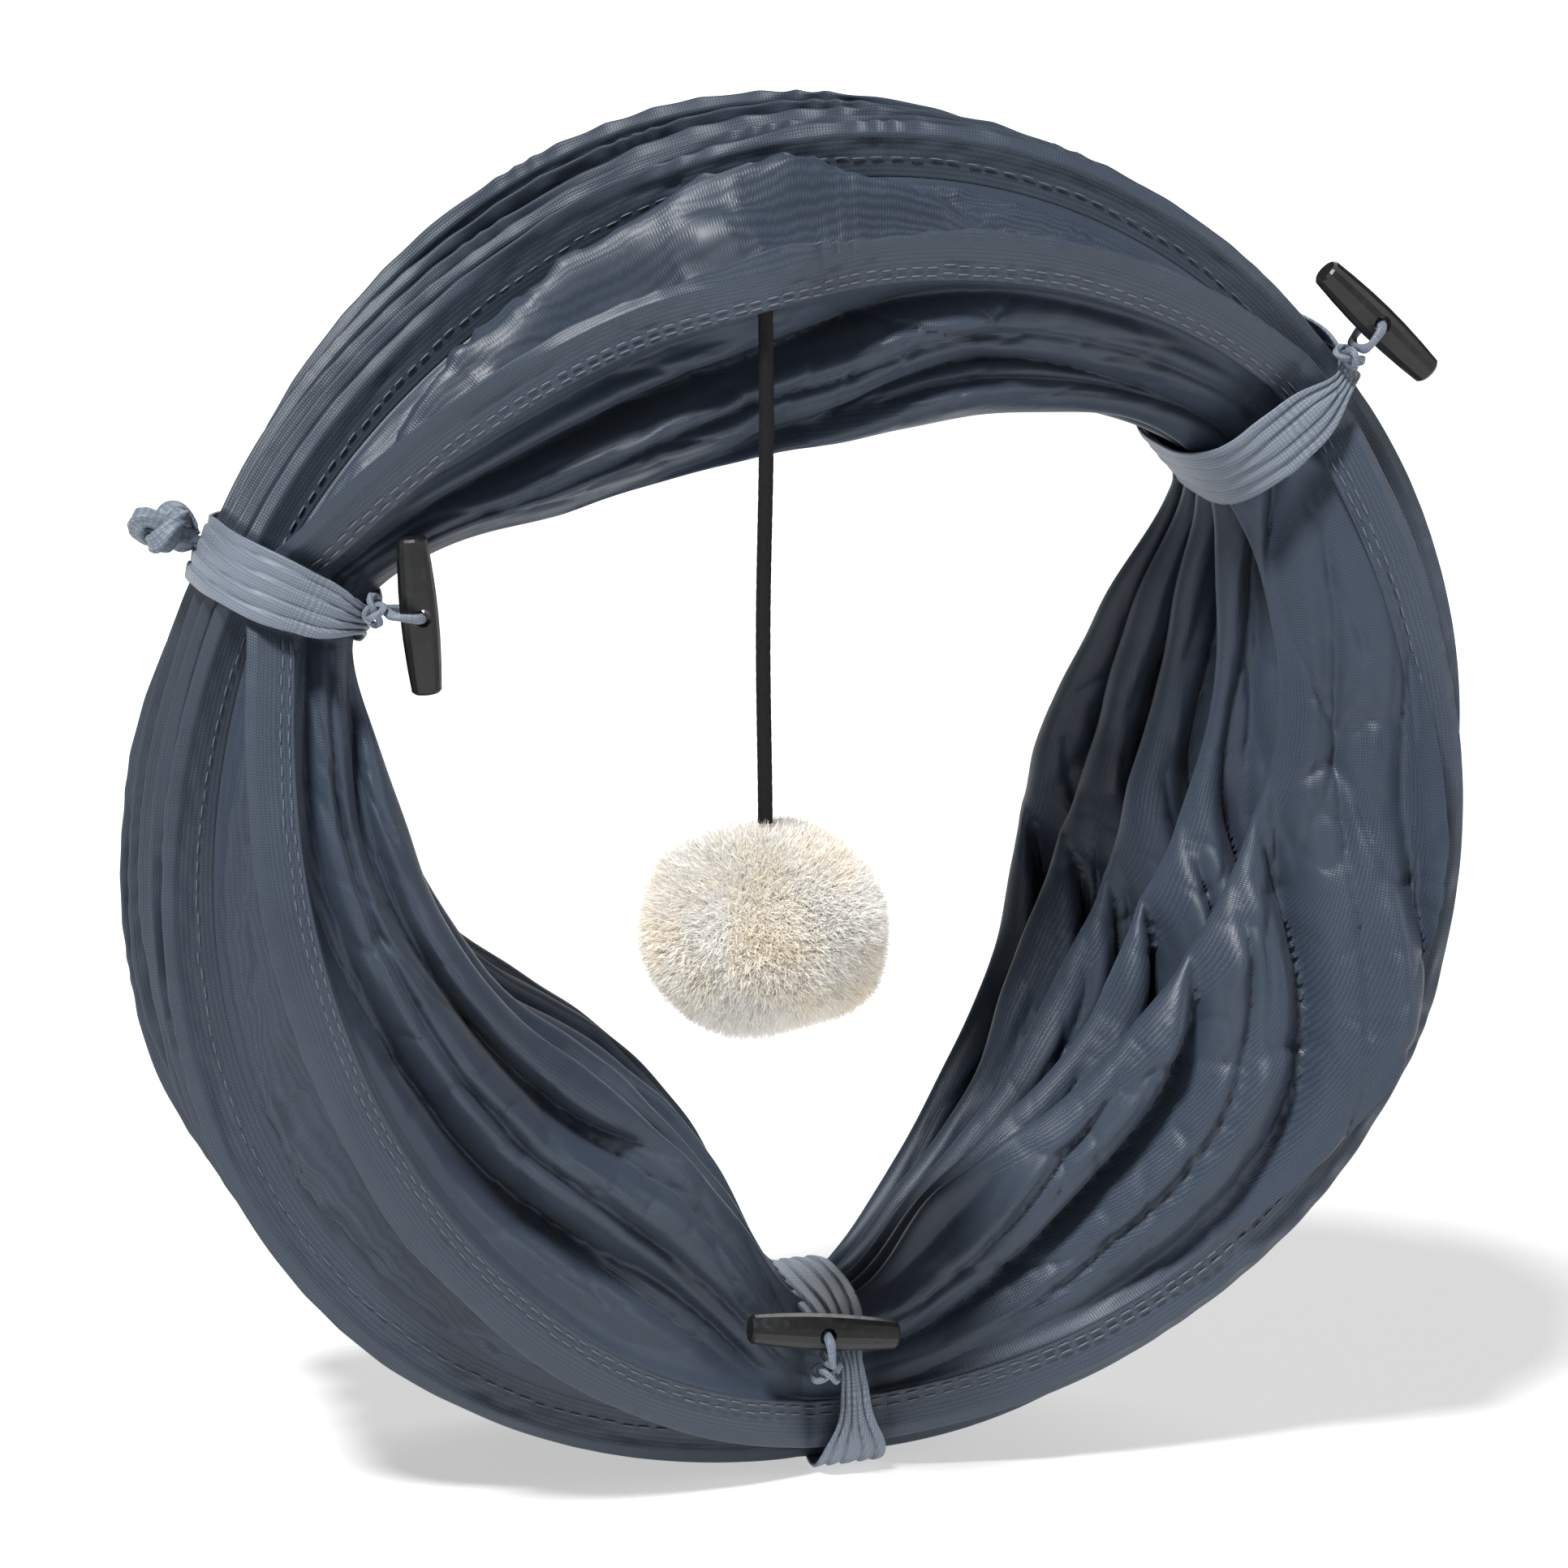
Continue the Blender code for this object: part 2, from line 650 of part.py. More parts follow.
cord_top = knot_place.z - cord_knot_diameter / 2 - gap
pompom_centre = Vector((knot_place.x, knot_place.y, knot_place.z - pompom_drop))
cord_bottom = pompom_centre.z + pompom_height / 2 + gap
cord_length = cord_top - cord_bottom
cord_path = [Vector((0.0, 0.0, cord_top - knot_place.z - cord_length * n / (cord_points - 1)))
             for n in range(cord_points)]
cord = tube(cord_path, cord_diameter)
cord.location = knot_place
finish(cord, "pompom_cord", "cord")

bpy.ops.mesh.primitive_uv_sphere_add(segments=pompom_segments, ring_count=pompom_rings, radius=0.5)
pompom = bpy.context.object
for vert in pompom.data.vertices:
    unit = vert.co * 2
    ripple = math.sin(pompom_lump_count * unit.x + unit.z) * math.cos(pompom_lump_count * unit.y) * (1 - unit.z ** 2)
    size = Vector((pompom_width, pompom_depth, pompom_height)) * 0.5
    vert.co = Vector(u * s for u, s in zip(unit, size)) + unit * (pompom_lump * ripple)
pompom.location = pompom_centre
finish(pompom, "pompom", "plush")

print("cord length, mm:", round(cord_length * 1000, 1))
for name, value in (("knot", knot_place), ("pompom", pompom_centre)):
    print(name, [round(v, 5) for v in value])
for name in tie_names:
    radius, angle, depth = toggle_places[name]
    print("toggle", name, [round(v, 5) for v in ring_point(angle, radius, depth)])
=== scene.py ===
"""Pop-up cat tunnel, pushed flat and tied into a ring, standing on a pale studio floor.

The tunnel's axis runs along Y, its front opening faces -Y, and everything is in metres.
"""

import json
import math

import bpy
import numpy as np
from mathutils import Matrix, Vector

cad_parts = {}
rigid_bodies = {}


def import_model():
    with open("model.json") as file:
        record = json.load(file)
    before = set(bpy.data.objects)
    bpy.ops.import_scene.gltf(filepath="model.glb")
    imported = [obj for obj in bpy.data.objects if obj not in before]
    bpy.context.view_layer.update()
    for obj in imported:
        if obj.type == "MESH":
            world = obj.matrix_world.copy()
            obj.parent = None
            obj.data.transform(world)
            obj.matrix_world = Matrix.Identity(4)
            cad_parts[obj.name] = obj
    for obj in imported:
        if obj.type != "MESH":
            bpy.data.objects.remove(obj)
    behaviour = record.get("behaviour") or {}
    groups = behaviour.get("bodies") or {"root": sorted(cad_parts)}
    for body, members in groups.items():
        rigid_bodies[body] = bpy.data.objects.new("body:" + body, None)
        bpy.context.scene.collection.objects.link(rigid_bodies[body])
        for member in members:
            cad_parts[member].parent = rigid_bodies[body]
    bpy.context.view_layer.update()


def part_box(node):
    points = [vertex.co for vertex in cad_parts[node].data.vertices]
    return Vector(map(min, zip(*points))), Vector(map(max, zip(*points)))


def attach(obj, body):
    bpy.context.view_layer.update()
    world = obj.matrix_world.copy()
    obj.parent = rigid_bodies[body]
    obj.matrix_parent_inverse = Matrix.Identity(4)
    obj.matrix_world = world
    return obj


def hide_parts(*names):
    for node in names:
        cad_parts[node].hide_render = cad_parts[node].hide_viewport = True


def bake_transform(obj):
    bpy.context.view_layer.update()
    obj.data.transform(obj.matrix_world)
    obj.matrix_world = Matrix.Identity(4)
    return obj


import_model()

# Floor, studio light and camera
# A pale floor under a white sky, a soft key light high in front on the left, weaker ones on the right and behind.
# The camera looks slightly down and from the left, through a long lens.

RING_CENTRE = Vector((-0.00473, 0.006, 0.13402))
CAMERA_AZIMUTH, CAMERA_ELEVATION = math.radians(-15.5), math.radians(13.0)
CAMERA_LENS, CAMERA_SENSOR, FRAME_WIDTH, CAMERA_SHIFT = 150.0, 36.0, 0.30912, 0.0008
SKY_SEEN, SKY_FILL = 1.0, 0.04
FLOOR_CORNERS = [(-6, -6, 0), (6, -6, 0), (6, 9, 0), (-6, 9, 0)]
FLOOR_GREY, FLOOR_GLOW = 0.55, 0.52

scene = bpy.context.scene
scene.view_settings.view_transform = "Standard"
world = bpy.data.worlds.new("studio")
world.use_nodes = True
sky = world.node_tree.nodes["Background"]
sky.inputs["Color"].default_value = (1.0, 1.0, 1.0, 1.0)
seen = world.node_tree.nodes.new("ShaderNodeLightPath")
strength = world.node_tree.nodes.new("ShaderNodeMapRange")
strength.inputs["To Min"].default_value = SKY_FILL
strength.inputs["To Max"].default_value = SKY_SEEN
world.node_tree.links.new(seen.outputs["Is Camera Ray"], strength.inputs["Value"])
world.node_tree.links.new(strength.outputs["Result"], sky.inputs["Strength"])
scene.world = world

floor_mesh = bpy.data.meshes.new("floor")
floor_mesh.from_pydata(FLOOR_CORNERS, [], [(0, 1, 2, 3)])
floor = bpy.data.objects.new("floor", floor_mesh)
scene.collection.objects.link(floor)
floor_paint = bpy.data.materials.new("floor_paint")
floor_paint.use_nodes = True
floor_shader = floor_paint.node_tree.nodes["Principled BSDF"]
floor_shader.inputs["Base Color"].default_value = (FLOOR_GREY, FLOOR_GREY, FLOOR_GREY, 1.0)
floor_shader.inputs["Roughness"].default_value = 0.9
floor_shader.inputs["Emission Color"].default_value = (1.0, 1.0, 1.0, 1.0)
floor_shader.inputs["Emission Strength"].default_value = FLOOR_GLOW
floor_mesh.materials.append(floor_paint)


def soft_light(name, place, spread_degrees, power):
    """A far soft light that shines from place to the middle of the ring, as wide as spread_degrees across the sky."""
    light = bpy.data.lights.new(name, "SUN")
    light.angle, light.energy = math.radians(spread_degrees), power
    lamp = bpy.data.objects.new(name, light)
    lamp.location = place
    lamp.rotation_euler = (RING_CENTRE - Vector(place)).to_track_quat("-Z", "Y").to_euler()
    scene.collection.objects.link(lamp)


soft_light("key_light", (-0.60, -0.50, 1.55), 12.0, 4.8)
soft_light("side_light", (1.15, -0.65, 0.75), 24.0, 0.7)
soft_light("back_light", (0.50, 1.20, 1.10), 30.0, 0.9)

back = Vector((math.sin(CAMERA_AZIMUTH) * math.cos(CAMERA_ELEVATION),
               -math.cos(CAMERA_AZIMUTH) * math.cos(CAMERA_ELEVATION), math.sin(CAMERA_ELEVATION)))
camera = bpy.data.objects.new("camera", bpy.data.cameras.new("camera"))
camera.data.lens = CAMERA_LENS
camera.data.sensor_width = CAMERA_SENSOR
right = Vector((math.cos(CAMERA_AZIMUTH), math.sin(CAMERA_AZIMUTH), 0.0))
camera.location = RING_CENTRE - right * CAMERA_SHIFT + back * (CAMERA_LENS / CAMERA_SENSOR * FRAME_WIDTH)
camera.rotation_euler = (-back).to_track_quat("-Z", "Y").to_euler()
camera.data.clip_start, camera.data.clip_end = 0.05, 30.0
scene.collection.objects.link(camera)
scene.camera = camera

# Elastic cord
# Black round braid over rubber, about 2.8 mm thick, that hangs from a knot at the front hem to the pompom.
# Eight strands wind each way along it and cross each other.

CORD_TOP, CORD_FOOT = (-0.0232, -0.0444, 0.2432), (-0.0232, -0.0444, 0.1389)
CORD_RADIUS, CORD_STRANDS, CORD_PITCH = 0.00135, 8, 0.0042
CORD_RELIEF, CORD_SWAY = 0.055, 0.0005


def grid_faces(rows, columns, close_rows=False, close_columns=False):
    """Quads of a grid of points, row by row, joined round where it closes."""
    r = np.arange(rows if close_rows else rows - 1)[:, None]
    c = np.arange(columns if close_columns else columns - 1)[None, :]
    r2, c2 = (r + 1) % rows, (c + 1) % columns
    quads = np.stack([r * columns + c, r * columns + c2, r2 * columns + c2, r2 * columns + c], axis=-1)
    return quads.reshape(-1, 4)


def make_piece(name, points, faces, uv=None, caps=(), lap=0.0):
    """A smooth mesh piece from arrays of points and quads, with rows of indices that cap its ends.

    Each point has a UV. Where a closed grid's last faces meet its first points, lap is the length to add to their U.
    """
    points = np.asarray(points, dtype=np.float32).reshape(-1, 3)
    faces = np.asarray(faces, dtype=np.int32)
    corners = np.concatenate([faces.ravel(), *[np.asarray(cap, dtype=np.int32) for cap in caps]])
    sizes = np.array([faces.shape[1]] * len(faces) + [len(cap) for cap in caps])
    mesh = bpy.data.meshes.new(name)
    mesh.vertices.add(len(points))
    mesh.vertices.foreach_set("co", points.ravel())
    mesh.loops.add(len(corners))
    mesh.loops.foreach_set("vertex_index", corners)
    mesh.polygons.add(len(sizes))
    mesh.polygons.foreach_set("loop_start", np.concatenate([[0], np.cumsum(sizes)[:-1]]).astype(np.int32))
    mesh.update(calc_edges=True)
    mesh.validate()
    if uv is not None:
        layer = mesh.uv_layers.new(name="UVMap")
        at = np.asarray(uv, dtype=np.float64).reshape(-1, 2)[corners]
        u = at[:faces.size, 0].reshape(faces.shape)
        at[:faces.size, 0] = (u + lap * (u < u.max(axis=1, keepdims=True) - 0.5 * lap)).ravel()
        layer.data.foreach_set("uv", at.astype(np.float32).ravel())
    mesh.shade_smooth()
    piece = bpy.data.objects.new(name, mesh)
    scene.collection.objects.link(piece)
    return piece


def ends_of(rows, columns):
    """Indices of the first and last row of a tube's grid, each turned to face outwards."""
    return [np.arange(columns), np.arange((rows - 1) * columns, rows * columns)[::-1]]


def principled(name, colour, roughness):
    """A new material with one shader of that colour and roughness, and its node tree."""
    material = bpy.data.materials.new(name)
    material.use_nodes = True
    shader = material.node_tree.nodes["Principled BSDF"]
    shader.inputs["Base Color"].default_value = (*colour, 1.0)
    shader.inputs["Roughness"].default_value = roughness
    return material, material.node_tree, shader


def object_noise(tree, scale, detail=2.0, distortion=0.0):
    """A noise texture on the piece's Object coordinates."""
    where = tree.nodes.new("ShaderNodeTexCoord")
    noise = tree.nodes.new("ShaderNodeTexNoise")
    noise.inputs["Scale"].default_value = scale
    noise.inputs["Detail"].default_value = detail
    noise.inputs["Distortion"].default_value = distortion
    tree.links.new(where.outputs["Object"], noise.inputs["Vector"])
    return noise


def colour_between(tree, shader, noise, low, high, places=(0.0, 1.0)):
    """Colour the shader from low to high where the noise goes from the first place to the second."""
    ramp = tree.nodes.new("ShaderNodeValToRGB")
    for stop, colour, place in zip(ramp.color_ramp.elements, (low, high), places):
        stop.color, stop.position = (*colour, 1.0), place
    tree.links.new(noise.outputs["Fac"], ramp.inputs["Fac"])
    tree.links.new(ramp.outputs["Color"], shader.inputs["Base Color"])


def roughness_between(tree, shader, noise, low, high):
    """Roughen the shader from low to high with the noise."""
    spread_out = tree.nodes.new("ShaderNodeMapRange")
    spread_out.inputs["To Min"].default_value = low
    spread_out.inputs["To Max"].default_value = high
    tree.links.new(noise.outputs["Fac"], spread_out.inputs["Value"])
    tree.links.new(spread_out.outputs["Result"], shader.inputs["Roughness"])


def raised(tree, shader, noise, distance, strength=1.0):
    """Raise the shader's surface by the noise, in the bump only."""
    bump = tree.nodes.new("ShaderNodeBump")
    bump.inputs["Strength"].default_value = strength
    bump.inputs["Distance"].default_value = distance
    tree.links.new(noise.outputs["Fac"], bump.inputs["Height"])
    tree.links.new(bump.outputs["Normal"], shader.inputs["Normal"])


cord_rows, cord_columns = 420, 32
along = np.linspace(0, 1, cord_rows)[:, None]
turn = np.linspace(0, 2 * np.pi, cord_columns, endpoint=False)[None, :]
cord_run = CORD_TOP[2] - CORD_FOOT[2]
twist = along * cord_run / CORD_PITCH * 2 * np.pi
weave = np.maximum(np.cos(CORD_STRANDS * turn + twist), np.cos(CORD_STRANDS * turn - twist))
cord_radius = CORD_RADIUS * (1 + CORD_RELIEF * weave)
sway = CORD_SWAY * np.sin(np.pi * along) * np.sin(5 * along + 1)
cord_points = np.stack([CORD_TOP[0] + sway + cord_radius * np.cos(turn), CORD_TOP[1] + cord_radius * np.sin(turn),
                        CORD_TOP[2] - along * cord_run + 0 * turn], axis=-1)
cord_body = grid_faces(cord_rows, cord_columns, close_columns=True)
cord = make_piece("elastic_cord", cord_points, cord_body, caps=ends_of(cord_rows, cord_columns),
                  uv=np.stack([turn + 0 * along, along * cord_run * 1000 + 0 * turn], axis=-1))
cord_black, tree, shader = principled("black_braid", (0.012, 0.012, 0.013), 0.72)
shader.inputs["Specular IOR Level"].default_value = 0.18
fibres = object_noise(tree, 2600.0)
colour_between(tree, shader, fibres, (0.003, 0.003, 0.0035), (0.016, 0.016, 0.018))
raised(tree, shader, fibres, 0.0001)
cord.data.materials.append(cord_black)
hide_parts("pompom_cord")
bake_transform(cord)

# Cloth bays
# Woven satin nylon in five bays, sewn between six turns of the spring, pushed flat so that each bay folds inwards.
# Long folds run from tie to tie, and small crinkles stand off the seams.

TIES = np.radians([38.0, 155.0, 272.0])
TIE_WIDTHS = np.radians([117.0, 117.0, 126.0])
BUNDLE_RADIUS = np.array([0.1180, 0.1120, 0.1175])
BUNDLE_HALF = np.array([0.0180, 0.0145, 0.0165])
TURN_SHARE = np.array([0.0, 0.26, 0.42, 0.58, 0.78, 1.0])
TURN_DRIFT = np.array([0.0, 0.17, 0.12, 0.06, 0.02, 0.0])
FOLD_SHARES = np.array([0.0, 0.03, 0.10, 0.20, 0.32, 0.44, 0.56, 0.68, 0.80, 0.90, 0.97])
FRONT_FOLD = np.array([
    [101.5, 101.0, 97.0, 88.0, 80.0, 75.0, 74.0, 76.0, 81.0, 92.0, 99.0],
    [99.0, 98.5, 90.0, 82.0, 76.0, 70.5, 66.0, 67.0, 72.0, 84.0, 102.5],
    [102.5, 102.0, 83.0, 76.5, 75.5, 75.0, 79.0, 86.0, 96.0, 100.0, 101.0]]) / 1000
REAR_FOLD = np.array([
    [101.5, 101.0, 94.0, 83.0, 74.0, 67.5, 66.0, 70.0, 78.5, 91.0, 99.0],
    [99.0, 98.5, 91.0, 84.0, 78.0, 71.0, 65.0, 62.5, 65.5, 76.0, 102.5],
    [102.5, 102.0, 91.0, 80.0, 70.5, 64.5, 61.5, 61.0, 65.5, 77.5, 101.0]]) / 1000
REAR_PART = np.array([0.0, 0.35, 0.6, 0.8, 1.0])
FOLD_SLANTS = np.array([0.5, -0.7, 0.9])
FRONT_BELLY_ANGLE, FRONT_BELLY_OUT, FRONT_BELLY_FORWARD = math.radians(-6.0), 0.0042, 0.0110
CORD_ANGLE, HEM_OVER_CORD, HEM_ROOT = math.radians(99.4), 0.0102, 0.0070
CORD_REACH, CORD_REACH_AT_HEM, HEM_CUT_OVER_CORD, CROWN_OVER_CORD = 0.13, 0.10, 0.0014, 0.0022
FRONT_TURN_RADIUS, FRONT_TURN_SIDE, FRONT_TURN_DROP = 0.1155, 0.0072, 0.0033
TURN_RADIUS, TURN_OVAL, OVAL_ANGLE = 0.1270, 0.0075, np.radians(52)
FRONT_DEPTH, FREE_DEPTH, TIED_DEPTH, DRIFT_ANGLE = -0.039, 0.090, 0.0215, np.radians(130)
WIRE_INSET, BUNDLE_DEPTH, BUNDLE_POWER = 0.0027, 0.02325, 3
INNER_RUFFLE, INNER_SWAY, INNER_MIDDLE, INNER_DEPTH, INNER_TIED_DEPTH = 0.0022, 0.0030, 0.006, 0.064, 0.024
HEM_FLARE, CHANNEL_ROOT, CHANNEL_ROOT_MORE = 0.0013, 0.0056, 0.0026
BROAD_FOLD, MIDDLE_FOLD, FINE_FOLD = 0.0125, 0.0074, 0.0016
LONG_CREASE, SHORT_CREASE, TUCK_CREASE = 0.0019, 0.0009, 0.0011
ROOM_BEHIND_CORD = 0.0052
SHOULDER_FROM, SHOULDER_TO, SHOULDER_EDGE = 0.80, 0.965, 0.05
BAY_STEPS, BAY_COUNTS = 720, (2, 13, 22, 20, 6, 6, 20, 18, 10, 11, 4)
WEAVE_GIRTH, WEAVE_LENGTH = 0.115, 0.130


def span(angle):
    """Index of the tie before each angle, and the share of the way to the next tie."""
    ahead = (angle[..., None] - TIES) % (2 * np.pi)
    tie = np.argmin(np.where(ahead < TIE_WIDTHS, ahead, 9.0), axis=-1)
    return tie, np.take_along_axis(ahead, tie[..., None], -1)[..., 0] / TIE_WIDTHS[tie]


def spread(angle):
    """0 in a tie and 1 midway between two, as the 0.75th power of a sine."""
    share = np.clip((span(angle)[1] - 0.03) / 0.94, 0, 1)
    return np.sin(np.pi * share) ** 0.75


def eased(values, angle):
    """A value of each tie, eased with 3t2 - 2t3 to the next tie's."""
    tie, t = span(angle)
    return values[tie] + (values[(tie + 1) % 3] - values[tie]) * t * t * (3 - 2 * t)


def near_cord(angle, reach):
    """1 at the cord's angle, fading to 0 over about twice the reach on both sides."""
    return np.exp(-((angle - CORD_ANGLE) / reach) ** 2)


def turn_place(k, angle):
    """Radius and depth of turn k of the spring: an oval between the ties, a rounded square bundle in them."""
    free = (FRONT_TURN_RADIUS + FRONT_TURN_SIDE * np.cos(angle) - FRONT_TURN_DROP * np.sin(angle) if k == 0
            else TURN_RADIUS + TURN_OVAL * np.cos(2 * (angle - OVAL_ANGLE)))
    free_depth = FRONT_DEPTH + FREE_DEPTH * (TURN_SHARE[k] + TURN_DRIFT[k] * np.cos(angle - DRIFT_ANGLE))
    tied_depth = TIED_DEPTH * (k / 2.5 - 1)
    tied = eased(BUNDLE_RADIUS, angle) + (eased(BUNDLE_HALF, angle) - WIRE_INSET) * (
        1 - abs(tied_depth / BUNDLE_DEPTH) ** BUNDLE_POWER) ** (1 / BUNDLE_POWER)
    w = spread(angle)
    over_cord = HEM_OVER_CORD * near_cord(angle, CORD_REACH) * (k == 0)
    return tied + (free - tied) * w, tied_depth + (free_depth - tied_depth) * w - over_cord


def through(profile, counts):
    """Catmull-Rom curve through the points of a profile (rows, points, values), with a count of steps a stretch."""
    before, after = 2 * profile[:, :1] - profile[:, 1:2], 2 * profile[:, -1:] - profile[:, -2:-1]
    padded = np.concatenate([before, profile, after], 1)
    rows = []
    for j, count in enumerate(counts):
        t = (np.arange(count + (j == len(counts) - 1)) / count)[None, :, None]
        a, b, c, d = (padded[:, j + i][:, None] for i in range(4))
        square, cube = (2 * a - 5 * b + 4 * c - d) * t ** 2, (3 * b - a - 3 * c + d) * t ** 3
        rows.append(0.5 * (2 * b + (c - a) * t + square + cube))
    return np.concatenate(rows, 1)


def lattice(x, y, seed, period=64):
    """Smooth noise from -1 to 1: values at whole numbers, blended with a quintic step; it repeats every period in x."""
    table = np.random.default_rng(seed).uniform(-1, 1, (period, 64))
    i, j = np.floor(x).astype(int), np.floor(y).astype(int)
    u, v = x - i, y - j
    u, v = u ** 3 * (u * (6 * u - 15) + 10), v ** 3 * (v * (6 * v - 15) + 10)
    at = lambda p, q: table[p % period, q % 64]
    low = at(i, j) + (at(i + 1, j) - at(i, j)) * u
    high = at(i, j + 1) + (at(i + 1, j + 1) - at(i, j + 1)) * u
    return low + (high - low) * v


def waves_round(angle, count, across, seed):
    """Smooth noise with that many waves round the ring, where its end meets its beginning, and varied across."""
    return lattice(angle * count / (2 * np.pi), angle * 0 + across, seed, count)


def crest(phase, sharpness):
    """A row of folds, one at each whole number: 1 on a crest and 0 midway, with a sharper crest below power 2."""
    return 1 - np.abs(np.sin(np.pi * phase)) ** sharpness


def fold_place(k, angle):
    """Radius and depth of the inner fold of bay k: the front one's and the rear one's places, mixed."""
    tie, t = span(angle)
    w = spread(angle)
    keys = np.concatenate([FOLD_SHARES, [1.0]])
    tables = [np.concatenate([table, np.roll(table[:, :1], -1, axis=0)], 1) for table in (FRONT_FOLD, REAR_FOLD)]
    lines = [np.choose(tie, [np.interp(t, keys, row) for row in table]) for table in tables]
    kernel = np.hanning(31) / np.hanning(31).sum()
    lines = [np.convolve(np.concatenate([s[-15:], s, s[:15]]), kernel, "valid") for s in lines]
    ruffle = INNER_RUFFLE * waves_round(angle, 17, 1.7 * k, 5)
    radius = lines[0] + (lines[1] - lines[0]) * REAR_PART[k] + w * ruffle
    sway = INNER_SWAY * waves_round(angle, 11, 0.4 * k, 6)
    reach = INNER_TIED_DEPTH * (1 - w) + INNER_DEPTH * w
    return radius, INNER_MIDDLE * w + reach * (k - 2) / 4 + w * sway


def ring_xyz(angle, radius, depth):
    """World places from angle, radius and depth."""
    return np.stack([RING_CENTRE.x + radius * np.cos(angle), depth, RING_CENTRE.z + radius * np.sin(angle)], -1)


def tuck_root(k, w, angle):
    """Height of the sewn band below the wire of turn k: less over the cord, or for the others more between the ties."""
    if k == 0:
        return HEM_ROOT - HEM_CUT_OVER_CORD * near_cord(angle, CORD_REACH_AT_HEM)
    return CHANNEL_ROOT + CHANNEL_ROOT_MORE * w


def band_flare(angle):
    """How far the front hem's sewn edge leans forwards or back, in metres."""
    return HEM_FLARE * spread(angle) * waves_round(angle, 17, 0, 45)


def front_belly(k, angle, w):
    """1 where the front bay bulges forwards on the right, 0 elsewhere and in the other bays."""
    return np.clip(np.cos(angle - FRONT_BELLY_ANGLE) * 2.6 - 1.5, 0, 1) * w * (k == 0)


def bay_profile(k, angle):
    """Bay k's cross sections: in from turn k, round the fold, out to a valley and over a shoulder to turn k + 1."""
    (r0, y0), (r1, y1), (rf, yf) = turn_place(k, angle), turn_place(k + 1, angle), fold_place(k, angle)
    w = spread(angle)
    loop = 0.0016 + (0.0032 + 0.0014 * waves_round(angle, 13, 2 * k, 8)) * w
    valley = np.minimum(r0, r1) - 0.0080 - 0.0062 * w + 0.001 * w * (k == 0)
    c = np.minimum(0.0050 + (0.0090 if k == 0 else 0.0030) * w, (0.40 + 0.08 * w) * (y1 - y0))
    shoulder_share = 0.58 + (0.22 if k == 0 else 0.14) * w
    belly = front_belly(k, angle, w)
    flare = band_flare(angle) * (k == 0)
    root0, root1 = tuck_root(k, w, angle), tuck_root(k + 1, w, angle)
    points = [(r0 - 0.5 * root0, y0 + 0.0001),
              (r0 - root0 - 0.001 * belly, y0 + 0.0003 + 0.9 * flare - 0.004 * belly),
              ((r0 * 0.72 + rf * 0.28) * (1 - belly) + (r0 - FRONT_BELLY_OUT) * belly,
               (y0 * 0.62 + yf * 0.38 + 0.001 * w) * (1 - belly) + (y0 - FRONT_BELLY_FORWARD) * belly),
              (r0 * 0.36 + rf * 0.64, y0 * 0.34 + yf * 0.66 - 0.6 * loop),
              (rf + 1.1 * loop, yf - loop), (rf, yf), (rf + 1.1 * loop, yf + loop),
              (valley * 0.4 + rf * 0.6, (y0 + c) * 0.4 + yf * 0.6 + 0.6 * loop), (valley, y0 + c),
              ((valley + r1 - 0.006) / 2 + 0.21 * w * (y1 - y0), y0 + shoulder_share * (y1 - y0)),
              (r1 - root1 - 0.0006, y1 - 0.0005), (r1 - 0.5 * root1, y1 - 0.0001)]
    profile = np.stack([np.stack(p, -1) for p in points], 1)
    return through(profile, BAY_COUNTS)


def long_folds(angle, share, k):
    """Folds that run from tie to tie, in metres of depth: broad ones that all bays share, and finer ones of each."""
    tie, t = span(angle)
    a = angle / (2 * np.pi)
    slant = FOLD_SLANTS[tie] * (t - 0.5)
    wander = 0.30 * np.sin(3 * angle + 0.7 + 1.1 * share) + 0.10 * np.sin(7 * angle + 2.0)
    broad = crest(2.3 * share + slant + wander + 0.5 + 0.10 * k, 0.68) - 0.28
    drift = 1.1 * wander + 1.8 * slant + 0.35 * lattice(a * 8, share * 1.1, 12 + k, 8)
    middle = crest(4.6 * share + drift, 0.62) - 0.26
    fade = 0.5 + 0.5 * lattice(a * 13, share * 1.4, 30 + k, 13)
    fine = crest(9.0 * share + 1.6 * drift + 0.4 * lattice(a * 23, share * 4, 36 + k, 23), 0.9) - 0.36
    return BROAD_FOLD * broad + (MIDDLE_FOLD * middle + FINE_FOLD * fine) * (0.35 + 0.65 * fade)


def creases(angle, share, k):
    """Sharp creases in metres: thin ridges of noise, drawn out from tie to tie and turned a little as they go in."""
    a = angle / (2 * np.pi)
    ridge = lambda n, power: (1 - np.abs(n)) ** power - 0.3
    turned = np.sin(2 * angle + 0.8 * k)
    long_ones = ridge(lattice(a * 21 - 1.2 * share, share * 5 + 1.5 * turned, 50 + k, 21), 5)
    short_ones = ridge(lattice(a * 57 + 3.0 * share, share * 9 - 2.5 * turned, 60 + k, 57), 4)
    tucks = ridge(lattice(a * 83 + 1.0 * share, share * 2.2, 70 + k, 83), 3) * np.clip(3 * share - 2.1, 0, 1)
    return LONG_CREASE * long_ones + SHORT_CREASE * short_ones + TUCK_CREASE * tucks


